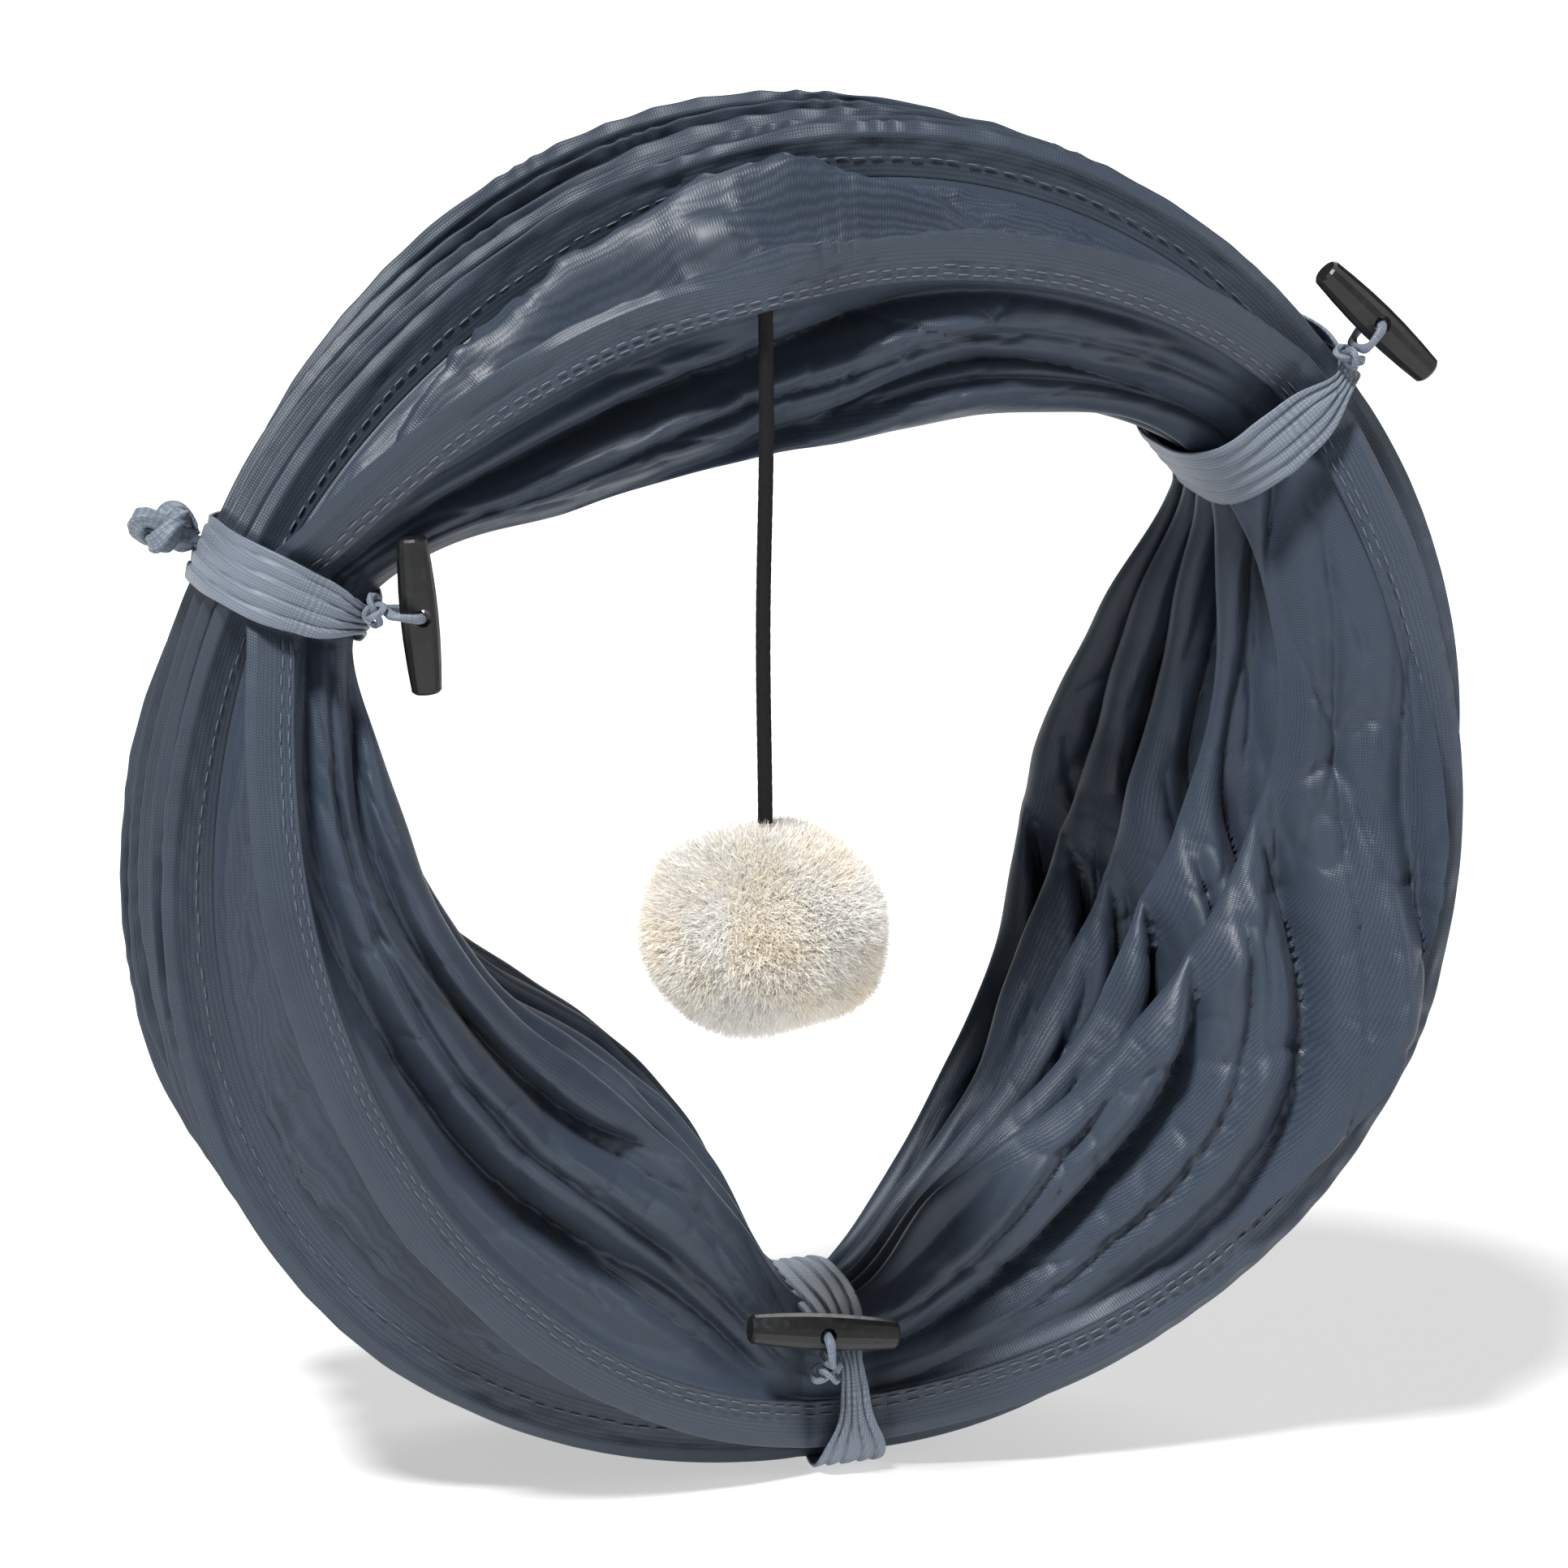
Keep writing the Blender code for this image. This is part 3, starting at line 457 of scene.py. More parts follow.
def make_bay(k):
    """The grid of bay k with its folds: depth moved on both legs, radius moved on the shoulder outside."""
    angle = np.linspace(0, 2 * np.pi, BAY_STEPS, endpoint=False)
    lines = bay_profile(k, angle)
    r0, rf = turn_place(k, angle)[0][:, None], fold_place(k, angle)[0][:, None]
    inmost = fold_place(4, angle)[0][:, None]
    columns = lines.shape[1]
    own = np.clip((lines[..., 0] - rf) / (r0 - rf), 0, 1.2)
    share = np.clip((lines[..., 0] - inmost) / (r0 - inmost), 0, 1.2)
    a = angle[:, None] + 0 * share
    w = spread(angle)[:, None]
    column = np.arange(columns)[None, :]
    belly = front_belly(k, a, w)
    inner = np.clip((r0 - tuck_root(k, w, a) - lines[..., 0]) / 0.008, 0, 1)
    inner = np.maximum(inner, belly * np.clip((column - 2) / 8, 0, 1) * (column < 30))
    inner = inner * np.clip(0.12 + own / 0.22, 0, 1)
    behind_cord = ROOM_BEHIND_CORD * near_cord(a, CORD_REACH)
    folds_in = long_folds(a, share, k) * (1 - 0.30 * belly) + creases(a, share, k) + behind_cord
    lines[..., 1] += folds_in * (0.20 + 0.80 * w) * inner
    along = np.linspace(0, 1, columns)[None, :]
    shoulder = np.clip((along - SHOULDER_FROM) / SHOULDER_EDGE, 0, 1)
    shoulder = shoulder * np.clip((SHOULDER_TO - along) / SHOULDER_EDGE, 0, 1)
    band = np.clip((along - 0.78) / 0.22, 0, 1)
    width = (turn_place(k + 1, angle)[1] - turn_place(k, angle)[1])[:, None]
    bend = 0.45 * waves_round(a, 9, band * 1.3 + k, 84 + k)
    swell = crest(2.0 * band + bend + 0.3 * np.sin(3 * a + k), 1.3) - 0.45
    pleat = crest(5.5 * band + 0.9 * waves_round(a, 13, band * 3, 85 + k), 1.0) - 0.4
    pucker = crest(a * 63 / (2 * np.pi) + 1.5 * waves_round(a, 47, 3 * along + k, 80 + k), 1.2) - 0.4
    bend = 0.4 * waves_round(a, 7, k, 88 + k)
    gap = crest(1.7 * band + bend + 0.25 * np.sin(2 * a + 2 * k), 0.5)
    folds = width * (0.17 * swell + 0.09 * pleat - 0.26 * gap + 0.05) + 0.0005 * pucker
    folds = folds + 1.1 * creases(a, 1.5 * band, 5 + k)
    lines[..., 0] += shoulder * folds * (0.35 + 0.65 * w)
    points = ring_xyz(a, lines[..., 0], lines[..., 1])
    return make_piece(f"cloth_bay_{k + 1}", points, grid_faces(BAY_STEPS, columns, close_rows=True),
                      uv=np.stack([a * WEAVE_GIRTH, WEAVE_LENGTH * along + 0 * a], -1), lap=2 * np.pi * WEAVE_GIRTH)


def satin_cloth(name, colour, roughness):
    """Coated nylon: a plain weave in colour and bump, dull and shiny patches, shallow crumples, a slight sheen."""
    material, tree, shader = principled(name, colour, roughness)
    nodes, links = tree.nodes, tree.links
    shader.inputs["Sheen Weight"].default_value = 0.06
    shader.inputs["Sheen Roughness"].default_value = 0.4
    shader.inputs["Specular IOR Level"].default_value = 0.36
    where = nodes.new("ShaderNodeTexCoord")
    cloudy = object_noise(tree, 45.0, detail=3.0)
    tint = nodes.new("ShaderNodeMix")
    tint.data_type = "RGBA"
    tint.inputs["A"].default_value = (*[c * 0.84 for c in colour], 1.0)
    tint.inputs["B"].default_value = (*[c * 1.16 for c in colour], 1.0)
    links.new(cloudy.outputs["Fac"], tint.inputs["Factor"])
    roughness_between(tree, shader, cloudy, roughness - 0.07, roughness + 0.09)
    threads = []
    for direction in ("X", "Y"):
        thread_wave = nodes.new("ShaderNodeTexWave")
        thread_wave.wave_type, thread_wave.bands_direction = "BANDS", direction
        thread_wave.inputs["Scale"].default_value = 560.0
        thread_wave.inputs["Distortion"].default_value = 2.2
        thread_wave.inputs["Detail Scale"].default_value = 1.6
        links.new(where.outputs["UV"], thread_wave.inputs["Vector"])
        threads.append(thread_wave)
    both = nodes.new("ShaderNodeMath")
    both.operation = "MULTIPLY"
    links.new(threads[0].outputs["Fac"], both.inputs[0])
    links.new(threads[1].outputs["Fac"], both.inputs[1])
    lit = nodes.new("ShaderNodeMapRange")
    lit.inputs["To Min"].default_value = 0.86
    lit.inputs["To Max"].default_value = 1.50
    links.new(both.outputs["Value"], lit.inputs["Value"])
    woven = nodes.new("ShaderNodeVectorMath")
    woven.operation = "SCALE"
    links.new(tint.outputs["Result"], woven.inputs[0])
    links.new(lit.outputs["Result"], woven.inputs["Scale"])
    links.new(woven.outputs["Vector"], shader.inputs["Base Color"])
    weave = nodes.new("ShaderNodeBump")
    weave.inputs["Strength"].default_value = 0.35
    weave.inputs["Distance"].default_value = 0.00010
    links.new(both.outputs["Value"], weave.inputs["Height"])
    crumple = object_noise(tree, 42.0, detail=2.5, distortion=0.6)
    crumple.noise_type = "RIDGED_MULTIFRACTAL"
    crumpled = nodes.new("ShaderNodeBump")
    crumpled.inputs["Strength"].default_value = 0.30
    crumpled.inputs["Distance"].default_value = 0.0007
    links.new(crumple.outputs["Fac"], crumpled.inputs["Height"])
    links.new(weave.outputs["Normal"], crumpled.inputs["Normal"])
    links.new(crumpled.outputs["Normal"], shader.inputs["Normal"])
    return material


satin = satin_cloth("satin_nylon", (0.034, 0.047, 0.070), 0.42)
bays = [make_bay(k) for k in range(5)]
for k, bay in enumerate(bays):
    bay.data.materials.append(satin)
    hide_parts(f"cloth_panel_{k + 1}")
    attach(bay, "ring")

# Sewn channels and hems
# A tuck of the same cloth round each turn of the spring, closed by a line of stitches near its root.
# The front hem has two lines; the gathered cloth makes the edges of all of them wavy.

THREAD_LENGTH, THREAD_PITCH, THREAD_RADIUS = 0.0026, 0.0036, 0.00019
SEAM_RADIUS, TUCK_STEPS, TUCK_CROWN, TUCK_LEAN, TUCK_LENGTH = 0.125, 900, 0.0025, 0.0014, 0.016
HEM_DROPS, CHANNEL_DROPS = (0.0044, 0.0060), (0.0044,)


def make_tuck(k):
    """Tuck round turn k: a thin U section over the wire, its crest and legs waved by the gathers."""
    angle = np.linspace(0, 2 * np.pi, TUCK_STEPS, endpoint=False)
    r, y = turn_place(k, angle)
    w = np.clip(spread(angle), 0.15, 1)
    length = angle * SEAM_RADIUS
    bend = 1.4 * waves_round(angle, 41, 0, 60 + k)
    ripple = crest(angle * 68 / (2 * np.pi) + bend, 1.4) - 0.4
    right_side = 0.35 + 0.65 * np.clip(0.5 + np.cos(angle), 0, 1)
    lean = (TUCK_LEAN * ripple * right_side + TUCK_LEAN * waves_round(angle, 19, 0, 70 + k)) * w
    uneven = 0.0006 * waves_round(angle, 33, 0, 75 + k)
    crown = TUCK_CROWN + (0.0005 * ripple * right_side + uneven) * w
    crown = crown + CROWN_OVER_CORD * near_cord(angle, CORD_REACH_AT_HEM) * (k == 0)
    root = tuck_root(k, w, angle) + 0 * r
    flare = band_flare(angle) * (k == 0)
    shape = [(-root, -0.0004 + flare), (-0.6 * root, -0.0004 + 0.5 * flare + 0.2 * lean),
             (-0.0012, -0.0007 + 0.1 * lean), (0.0002, -0.0010 + 0.1 * lean), (0.0012, -0.0006 + 0.6 * lean),
             (crown - 0.0003, -0.0002 + lean), (crown, lean), (crown - 0.0003, 0.0002 + lean),
             (0.0012, 0.0006 + 0.6 * lean), (0.0002, 0.0010 + 0.1 * lean), (-0.0012, 0.0007 + 0.1 * lean),
             (-0.6 * root, 0.0004 + 0.5 * flare + 0.2 * lean), (-root, 0.0004 + flare)]
    profile = np.stack([np.stack([r + p, y + d], -1) for p, d in shape], 1)
    lines = through(profile, (3, 3, 2, 2, 2, 1, 1, 2, 2, 2, 3, 3))
    a, low = angle[:, None] + 0 * lines[..., 0], (lines[..., 0] - r[:, None]) / 0.0086
    above = lines[..., 0] - r[:, None]
    standing = np.clip((above + 0.0042) / 0.0020, 0, 1) * np.clip((-0.0008 - above) / 0.0010, 0, 1)
    waves = 0.55 * creases(a, 2 * low, 90 + k) + 0.0004 * crest(a * 87 / (2 * np.pi) + 2 * low, 1.2)
    lines[..., 1] += waves * w[:, None] * standing
    columns = lines.shape[1]
    uv = np.stack([length[:, None] + 0 * a, np.linspace(0, TUCK_LENGTH, columns)[None] + 0 * a], -1)
    return make_piece(f"tuck_{k + 1}", ring_xyz(a, lines[..., 0], lines[..., 1]),
                      grid_faces(TUCK_STEPS, columns, close_rows=True), uv=uv, lap=2 * np.pi * SEAM_RADIUS)


def make_stitches(k, drop, name):
    """One line of thread on both faces of tuck k: small spindles that follow the seam, at a drop below the wire."""
    count = int(2 * np.pi * SEAM_RADIUS / THREAD_PITCH)
    middle = (np.arange(count) + 0.5) * 2 * np.pi / count
    half = THREAD_LENGTH / 2 / SEAM_RADIUS
    rng = np.random.default_rng(90 + k)
    middle = middle + rng.normal(0, 0.0012, count)
    t = np.array([-1.0, -0.6, 0.0, 0.6, 1.0])
    thick = np.array([0.25, 0.9, 1.0, 0.9, 0.25]) * THREAD_RADIUS
    around = np.arange(5) * 2 * np.pi / 5
    pieces = []
    for side in (-1, 1):
        angle = middle[:, None] + t[None] * half
        r, y = turn_place(k, angle)
        drawn_up = tuck_root(k, 1.0, angle) / HEM_ROOT if k == 0 else 1.0
        r = r - drop * drawn_up + rng.normal(0, 0.00018, count)[:, None]
        y = y + side * 0.00065 + band_flare(angle) * (k == 0) * (0.6 if drop < 0.006 else 0.8)
        place = ring_xyz(angle, r, y)[:, :, None, :]
        out = np.stack([np.cos(angle), 0 * angle, np.sin(angle)], -1)[:, :, None, :]
        side_way = np.array([0.0, 1.0, 0.0])
        ring = out * np.cos(around)[None, None, :, None] + side_way * np.sin(around)[None, None, :, None]
        pieces.append((place + ring * thick[None, :, None, None]).reshape(-1, 3))
    points = np.concatenate(pieces)
    one = grid_faces(5, 5, close_columns=True)
    base = np.arange(2 * count)[:, None, None] * 25
    return make_piece(name, points, (one[None] + base).reshape(-1, 4))


hem_cloth = satin_cloth("hem_nylon", (0.041, 0.055, 0.078), 0.44)
thread, tree, shader = principled("grey_thread", (0.11, 0.12, 0.15), 0.55)
seams = [[] for _ in range(5)]
tuck_nodes = ["front_hem", "wire_channel_1", "wire_channel_2", "wire_channel_3", "wire_channel_4", "rear_hem"]
for k, node in enumerate(tuck_nodes):
    tuck = make_tuck(k)
    tuck.data.materials.append(hem_cloth)
    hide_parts(node)
    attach(tuck, "ring")
    for row, drop in enumerate(HEM_DROPS if k == 0 else CHANNEL_DROPS):
        stitches = make_stitches(k, drop, f"stitches_{k + 1}_{row + 1}")
        stitches.data.materials.append(thread)
        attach(stitches, "ring")
        seams[min(k, 4)].append(stitches)
    seams[min(k, 4)].append(tuck)

# Tie straps
# Three soft bands of the same cloth, folded lengthwise, each wrapped round a bundle and gathered towards its toggle.

STRAP_WIDTH, STRAP_PINCH, STRAP_PINCH_POWER = 0.0130, 0.0050, 6
STRAP_HALF_DEPTH, STRAP_GIRTH_RADIUS, STRAP_WALL = 0.0254, 0.021, 0.0006
PINCH_ANGLES = np.radians([-50.0, -130.0, -105.0])


def make_strap(tie):
    """Band round a bundle: a superellipse of power 3 carried across its width, ribbed by five lengthwise folds."""
    rows, columns = 240, 41
    turn = np.linspace(0, 2 * np.pi, rows, endpoint=False)[:, None]
    side = np.linspace(-1, 1, columns)[None, :]
    near = np.maximum(np.cos(turn - PINCH_ANGLES[tie]), 0) ** STRAP_PINCH_POWER
    half = (STRAP_WIDTH + (STRAP_PINCH - STRAP_WIDTH) * near) / 2
    skew = 0.0010 * np.sin(turn + tie) + 0.0003 * np.sin(3 * turn)
    phase = 2.3 * (side + 1) + 0.22 * np.sin(turn + 2 * tie) + 0.12 * np.sin(3 * turn + side)
    ribs = 1 - (phase % 1) ** 1.5 * np.clip((1 - phase % 1) / 0.12, 0, 1)
    uneven = 0.0003 * waves_round(turn, 9, side * 1.3, 95 + tie)
    growth = 0.0003 + 0.0007 * ribs * (1 + 0.5 * near) + uneven
    edge = 0.0005 * waves_round(turn, 12, 2 * tie, 97) * np.sign(side)
    half_width, half_depth = BUNDLE_HALF[tie] + 0.0004 + growth, STRAP_HALF_DEPTH + growth
    radial = half_width * np.sign(np.cos(turn)) * np.abs(np.cos(turn)) ** (2 / 3)
    depth = half_depth * np.sign(np.sin(turn)) * np.abs(np.sin(turn)) ** (2 / 3)
    radius = BUNDLE_RADIUS[tie] + radial
    across = side * half + skew + edge
    x = RING_CENTRE.x + radius * np.cos(TIES[tie]) - across * np.sin(TIES[tie])
    z = RING_CENTRE.z + radius * np.sin(TIES[tie]) + across * np.cos(TIES[tie])
    if tie == 2:
        z = np.maximum(z, 0.00045 + 0.0004 * (1 - ribs))
    uv = np.stack([turn * STRAP_GIRTH_RADIUS + 0 * side, across + 0 * turn], -1)
    piece = make_piece(f"tie_strap_{tie + 1}", np.stack([x, depth + 0 * x, z], -1),
                       grid_faces(rows, columns, close_rows=True), uv=uv, lap=2 * np.pi * STRAP_GIRTH_RADIUS)
    wall = piece.modifiers.new("wall", "SOLIDIFY")
    wall.thickness, wall.offset = STRAP_WALL, 0.0
    return piece


strap_cloth = satin_cloth("strap_nylon", (0.165, 0.195, 0.240), 0.50)
straps = [make_strap(tie) for tie in range(3)]
for strap, node in zip(straps, ("strap_top", "strap_left", "strap_bottom")):
    strap.data.materials.append(strap_cloth)
    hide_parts(node)
    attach(strap, "ring")

# Toggles, their loops and knots
# Three black plastic barrels with a cross hole; a doubled strip of the strap's cloth goes through each and is knotted.
# The left strap's spare end is knotted into a crumpled bunch outside the ring.

LOOP_RADIUS, LOOP_REACH, LOOP_HALF_DEPTH = 0.00085, 0.0062, 0.0049
KNOT_SIZE, KNOT_DEPTH, KNOT_RADIUS, KNOT_BELOW = 0.0010, 0.0012, 0.00062, 0.00865
TOGGLE_PLACES = np.array([[0.10559, -0.0237, 0.22594], [-0.08581, -0.0274, 0.17896], [-0.00722, -0.0290, 0.03205]])
KNOT_WAYS = np.radians([232.0, 172.0, 276.0])
ROPE_RELIEF, ROPE_WEAVE = 0.16, 0.03
LOOP_STEPS, KNOT_STEPS, TAIL_STEPS = 120, 240, 260
TAIL_RADIUS, TAIL_UNEVEN = 0.0021, 0.0004

plastic, tree, shader = principled("black_plastic", (0.014, 0.015, 0.016), 0.42)
scuffs = object_noise(tree, 260.0, detail=6.0, distortion=1.5)
colour_between(tree, shader, scuffs, (0.004, 0.0045, 0.005), (0.024, 0.026, 0.028), places=(0.55, 0.85))
roughness_between(tree, shader, scuffs, 0.30, 0.58)
raised(tree, shader, object_noise(tree, 1400.0), 0.00006, strength=0.3)
for name in ("toggle_top", "toggle_left", "toggle_bottom"):
    bpy.data.objects[name].material_slots[0].material = plastic


def make_rope(name, path, facing, radius, lobes=2, twists=0, closed=True, columns=20):
    """A tube along a path: its section has rounded lobes that wind round it, its first column lies along facing."""
    rows = len(path)
    ahead = np.roll(path, -1, 0) - np.roll(path, 1, 0) if closed else np.gradient(path, axis=0)
    ahead = ahead / np.linalg.norm(ahead, axis=1)[:, None]
    out = facing - ahead * (facing * ahead).sum(1)[:, None]
    out = out / np.linalg.norm(out, axis=1)[:, None]
    over = np.cross(ahead, out)
    turn = np.linspace(0, 2 * np.pi, columns, endpoint=False)[None, :]
    wind = np.linspace(0, 2 * np.pi * twists, rows, endpoint=False)[:, None]
    size = np.broadcast_to(radius, rows)[:, None] * (1 + ROPE_RELIEF * np.cos(lobes * turn + wind))
    around = np.cos(turn)[..., None] * out[:, None] + np.sin(turn)[..., None] * over[:, None]
    uv = np.stack([turn * radius.mean() + 0 * wind, np.linspace(0, ROPE_WEAVE, rows)[:, None] + 0 * turn], -1)
    return make_piece(name, path[:, None] + size[..., None] * around,
                      grid_faces(rows, columns, close_rows=closed, close_columns=True), uv=uv,
                      caps=() if closed else ends_of(rows, columns))


def trefoil(steps):
    """The angle along a trefoil knot's path, and its two wide coordinates and its flat one, as columns."""
    t = np.linspace(0, 2 * np.pi, steps, endpoint=False)[:, None]
    return t, np.sin(t) + 2 * np.sin(2 * t), np.cos(t) - 2 * np.cos(2 * t), np.sin(3 * t)


for n, name in enumerate(("top", "left", "bottom")):
    down = np.array([math.cos(KNOT_WAYS[n]), 0.0, math.sin(KNOT_WAYS[n])])
    beside = np.array([-down[2], 0.0, down[0]])
    turn = np.linspace(0, 2 * np.pi, LOOP_STEPS, endpoint=False)[:, None]
    squared = lambda v: np.sign(v) * np.abs(v) ** 0.6
    path = TOGGLE_PLACES[n] + down * (LOOP_REACH / 2 + squared(np.cos(turn)) * LOOP_REACH / 2)
    path = path + np.array([0.0, 1.0, 0.0]) * squared(np.sin(turn)) * LOOP_HALF_DEPTH
    loop = make_rope(f"loop_{name}", path, np.broadcast_to(beside, path.shape),
                     np.full(LOOP_STEPS, LOOP_RADIUS), lobes=2, twists=3)
    _, wide, high, flat = trefoil(KNOT_STEPS)
    path = (TOGGLE_PLACES[n] + down * KNOT_BELOW + beside * KNOT_SIZE * wide
            + np.array([0.0, KNOT_SIZE, 0.0]) * high - down * KNOT_DEPTH * flat)
    knot = make_rope(f"knot_{name}", path, np.broadcast_to(down, path.shape),
                     np.full(KNOT_STEPS, KNOT_RADIUS), lobes=3, twists=5)
    for piece, node in ((loop, f"toggle_loop_{name}"), (knot, f"toggle_knot_{name}")):
        piece.data.materials.append(strap_cloth)
        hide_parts(node)
        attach(piece, "ring")

tail_low, tail_high = (np.array(v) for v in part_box("strap_tail_left"))
t, wide, high, flat = trefoil(TAIL_STEPS)
bunch = (tail_low + tail_high) / 2 + (tail_high - tail_low) * np.concatenate([
    0.150 * wide, 0.125 * high, -0.24 * flat], 1)
tail = make_rope("tail_knot", bunch, np.broadcast_to([0.3, 0.5, 1.0], bunch.shape),
                 TAIL_RADIUS + TAIL_UNEVEN * np.sin(5 * t[:, 0]), lobes=5, twists=4)
tail.data.materials.append(strap_cloth)
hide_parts("strap_tail_left")
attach(tail, "ring")

# Knot and tab that hold the cord, spring wire
# The cord ends in a small black knot behind the front hem, sewn down with a scrap of the same cloth.
# The spring is one steel wire of six turns inside the hems and channels, with a pale plastic cap on each end.

CORD_KNOT_SIZE, CORD_KNOT_RADIUS, CORD_KNOT_STEPS = 0.00050, 0.00072, 200
SCRAP_HALF_HEIGHT, SCRAP_HALF_WIDTH, SCRAP_WAVE = 0.0024, 0.0045, 0.0002
WIRE_RADIUS, WIRE_TURNS, WIRE_STEPS, WIRE_CROSSING = 0.0005, 6, 2160, 0.02

knot_low, knot_high = (np.array(v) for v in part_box("cord_knot"))
_, wide, high, flat = trefoil(CORD_KNOT_STEPS)
path = (knot_low + knot_high) / 2 + CORD_KNOT_SIZE * np.concatenate([wide, high, -1.4 * flat], 1)
cord_knot = make_rope("cord_top_knot", path, np.broadcast_to([0.2, 1.0, 0.4], path.shape),
                      np.full(CORD_KNOT_STEPS, CORD_KNOT_RADIUS), lobes=6, twists=9)
cord_knot.data.materials.append(cord_black)
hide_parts("cord_knot")
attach(cord_knot, "cord_knot")
scrap_low, scrap_high = (np.array(v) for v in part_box("cord_tab"))
u, v = np.meshgrid(np.linspace(-1, 1, 40), np.linspace(-1, 1, 30), indexing="ij")
scrap_width = (scrap_high[0] - scrap_low[0]) / 2 * (1 - 0.06 * v ** 2)
scrap_points = np.stack([(scrap_low[0] + scrap_high[0]) / 2 + u * scrap_width,
                         (scrap_low[1] + scrap_high[1]) / 2 + SCRAP_WAVE * np.sin(5 * u + 2 * v),
                         scrap_low[2] + (v + 1) * SCRAP_HALF_HEIGHT + SCRAP_WAVE * np.cos(4 * u)], -1)
scrap = make_piece("cord_scrap", scrap_points, grid_faces(40, 30),
                   uv=np.stack([u * SCRAP_HALF_WIDTH, v * SCRAP_HALF_HEIGHT], -1))
scrap.data.materials.append(hem_cloth)
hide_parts("cord_tab")
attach(scrap, "ring")

steel, tree, shader = principled("spring_steel", (0.35, 0.35, 0.36), 0.35)
shader.inputs["Metallic"].default_value = 1.0
roughness_between(tree, shader, object_noise(tree, 700.0), 0.25, 0.5)
wind = np.linspace(0, 1, WIRE_STEPS + 1)[:-1] * WIRE_TURNS
started = TIES[2] + 2 * np.pi * wind
passed = np.clip((wind % 1) / WIRE_CROSSING, 0, 1)
passed = passed * passed * (3 - 2 * passed)
here = [turn_place(k, started) for k in range(WIRE_TURNS)]
radius, depth = (np.choose(wind.astype(int), [place[n] for place in here]) for n in range(2))
before = [np.choose(np.maximum(wind.astype(int) - 1, 0), [place[n] for place in here]) for n in range(2)]
radius, depth = before[0] + (radius - before[0]) * passed, before[1] + (depth - before[1]) * passed
wire = make_rope("spring_wire", ring_xyz(started, radius, depth), np.broadcast_to([0.0, 1.0, 0.0], (WIRE_STEPS, 3)),
                 np.full(WIRE_STEPS, WIRE_RADIUS), lobes=1, twists=0, closed=False, columns=8)
wire.data.materials.append(steel)
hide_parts("spiral_spring_wire")
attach(wire, "ring")
cap_plastic, tree, shader = principled("pale_plastic", (0.80, 0.80, 0.78), 0.5)
colour_between(tree, shader, object_noise(tree, 500.0), (0.72, 0.72, 0.69), (0.84, 0.84, 0.82))
for name in ("wire_cap_front", "wire_cap_rear"):
    bpy.data.objects[name].material_slots[0].material = cap_plastic

# Pompom
# A ball of cream plush, about 49 mm wide, with a short dense pile that lies in tufts.

POMPOM_CENTRE, POMPOM_RADII = np.array([-0.0232, -0.0444, 0.1186]), np.array([0.0213, 0.0205, 0.0172])
PILE_PIECES, PILE_STRANDS, PILE_TUFTS, PILE_ROOT = 3, 36000, 320, 0.96
PILE_LENGTHS, PILE_HALF_WIDTHS = (0.0028, 0.0046), np.array([0.00011, 0.00009, 0.00002])
PILE_STEPS, PILE_CURL, PILE_SAG = np.array([0.0, 0.5, 1.0]), 0.42, np.array([0.0, 0.0, -0.15])


def lumpy(out):
    """Size of the ball in each direction out from its middle, about 1."""
    return 1 + 0.06 * np.sin(5 * out[..., 0] + 3 * out[..., 2]) * np.cos(4 * out[..., 1] + 1)


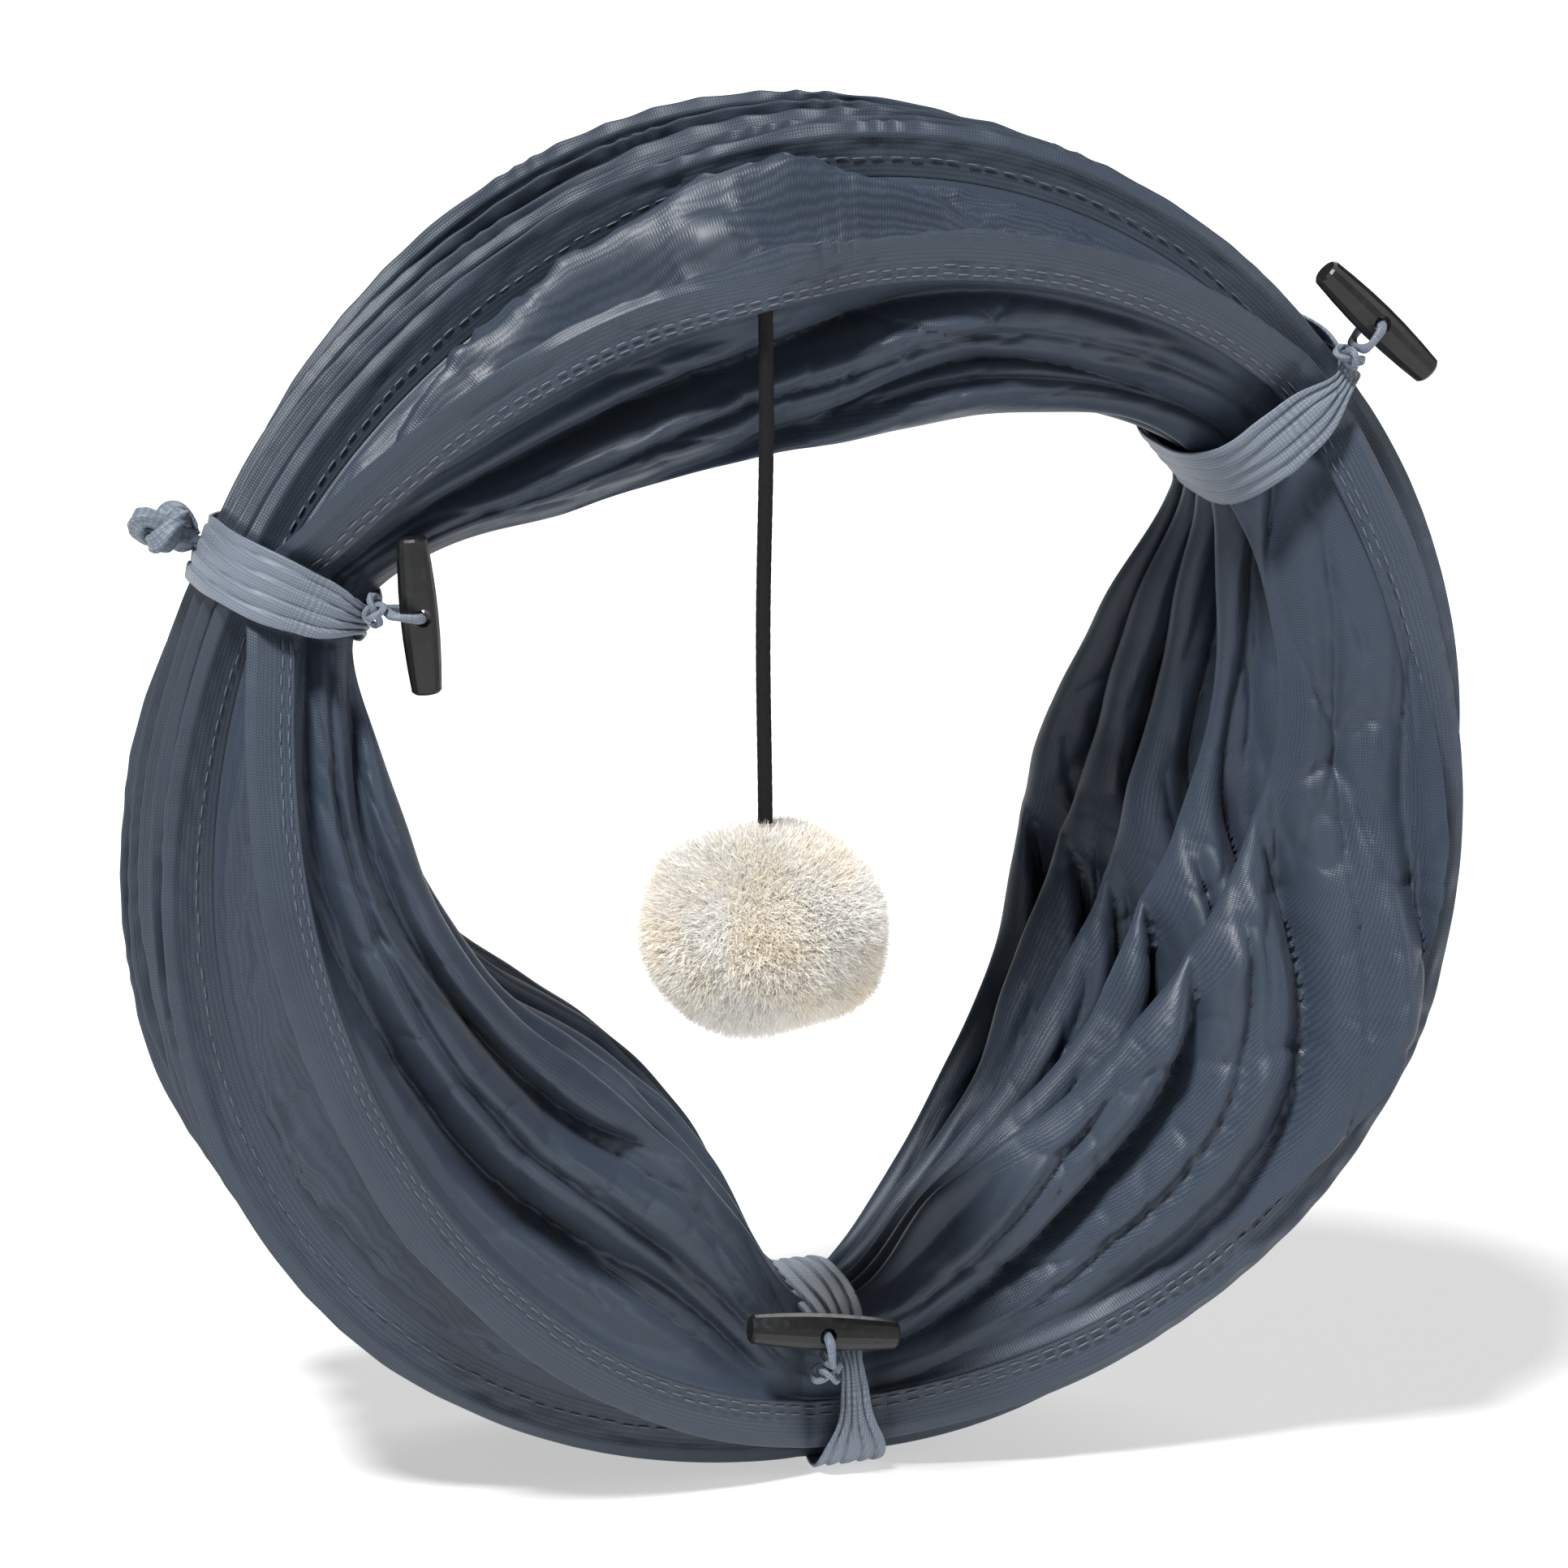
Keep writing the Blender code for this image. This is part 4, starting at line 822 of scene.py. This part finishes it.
def make_pile(count, seed, name):
    """Strands on an ellipsoid: tapered ribbons of two steps that lean together in tufts."""
    rng = np.random.default_rng(seed)
    n = np.arange(count) + 0.5
    height = 1 - 2 * n / count
    swing = np.pi * (1 + 5 ** 0.5) * n + rng.normal(0, 0.4, count)
    ring = np.sqrt(1 - height ** 2)
    out = np.stack([ring * np.cos(swing), ring * np.sin(swing), height], -1)
    tufts = rng.normal(size=(PILE_TUFTS, 3))
    tufts /= np.linalg.norm(tufts, axis=1)[:, None]
    owner = tufts[np.argmax(out @ tufts.T, axis=1)]
    root = POMPOM_CENTRE + out * POMPOM_RADII * lumpy(out)[:, None] * PILE_ROOT
    lean = (owner - out) * 0.9 + rng.normal(0, 0.28, (count, 3)) + PILE_SAG
    way = out + lean
    way /= np.linalg.norm(way, axis=1)[:, None]
    curl = np.cross(way, rng.normal(size=(count, 3)))
    curl /= np.linalg.norm(curl, axis=1)[:, None]
    length = rng.uniform(*PILE_LENGTHS, count)[:, None]
    side = np.cross(way, curl)[:, None] * PILE_HALF_WIDTHS[None, :, None]
    straight, curled = length * PILE_STEPS, length * PILE_CURL * PILE_STEPS ** 2
    line = root[:, None] + way[:, None] * straight[..., None] + curl[:, None] * curled[..., None]
    points = np.stack([line - side, line + side], 2)
    face = np.array([[0, 1, 3, 2], [2, 3, 5, 4]])
    faces = (face[None] + 6 * np.arange(count)[:, None, None]).reshape(-1, 4)
    return make_piece(name, points, faces)


plush, tree, shader = principled("cream_plush", (0.95, 0.93, 0.88), 0.9)
shader.inputs["Sheen Weight"].default_value = 0.3
colour_between(tree, shader, object_noise(tree, 70.0), (0.96, 0.88, 0.76), (0.97, 0.95, 0.91), places=(0.3, 0.6))
theta = np.linspace(0, np.pi, 48)[:, None]
phi = np.linspace(0, 2 * np.pi, 96, endpoint=False)[None, :]
ball_out = np.stack([np.sin(theta) * np.cos(phi), np.sin(theta) * np.sin(phi), np.cos(theta) + 0 * phi], -1)
ball = make_piece("pompom_core", POMPOM_CENTRE + ball_out * POMPOM_RADII * lumpy(ball_out)[..., None],
                  grid_faces(48, 96, close_columns=True))
pile_pieces = [ball] + [make_pile(PILE_STRANDS, 7 + n, f"pompom_pile_{n + 1}") for n in range(PILE_PIECES)]
for piece in pile_pieces:
    piece.data.materials.append(plush)
    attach(piece, "pompom")
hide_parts("pompom")
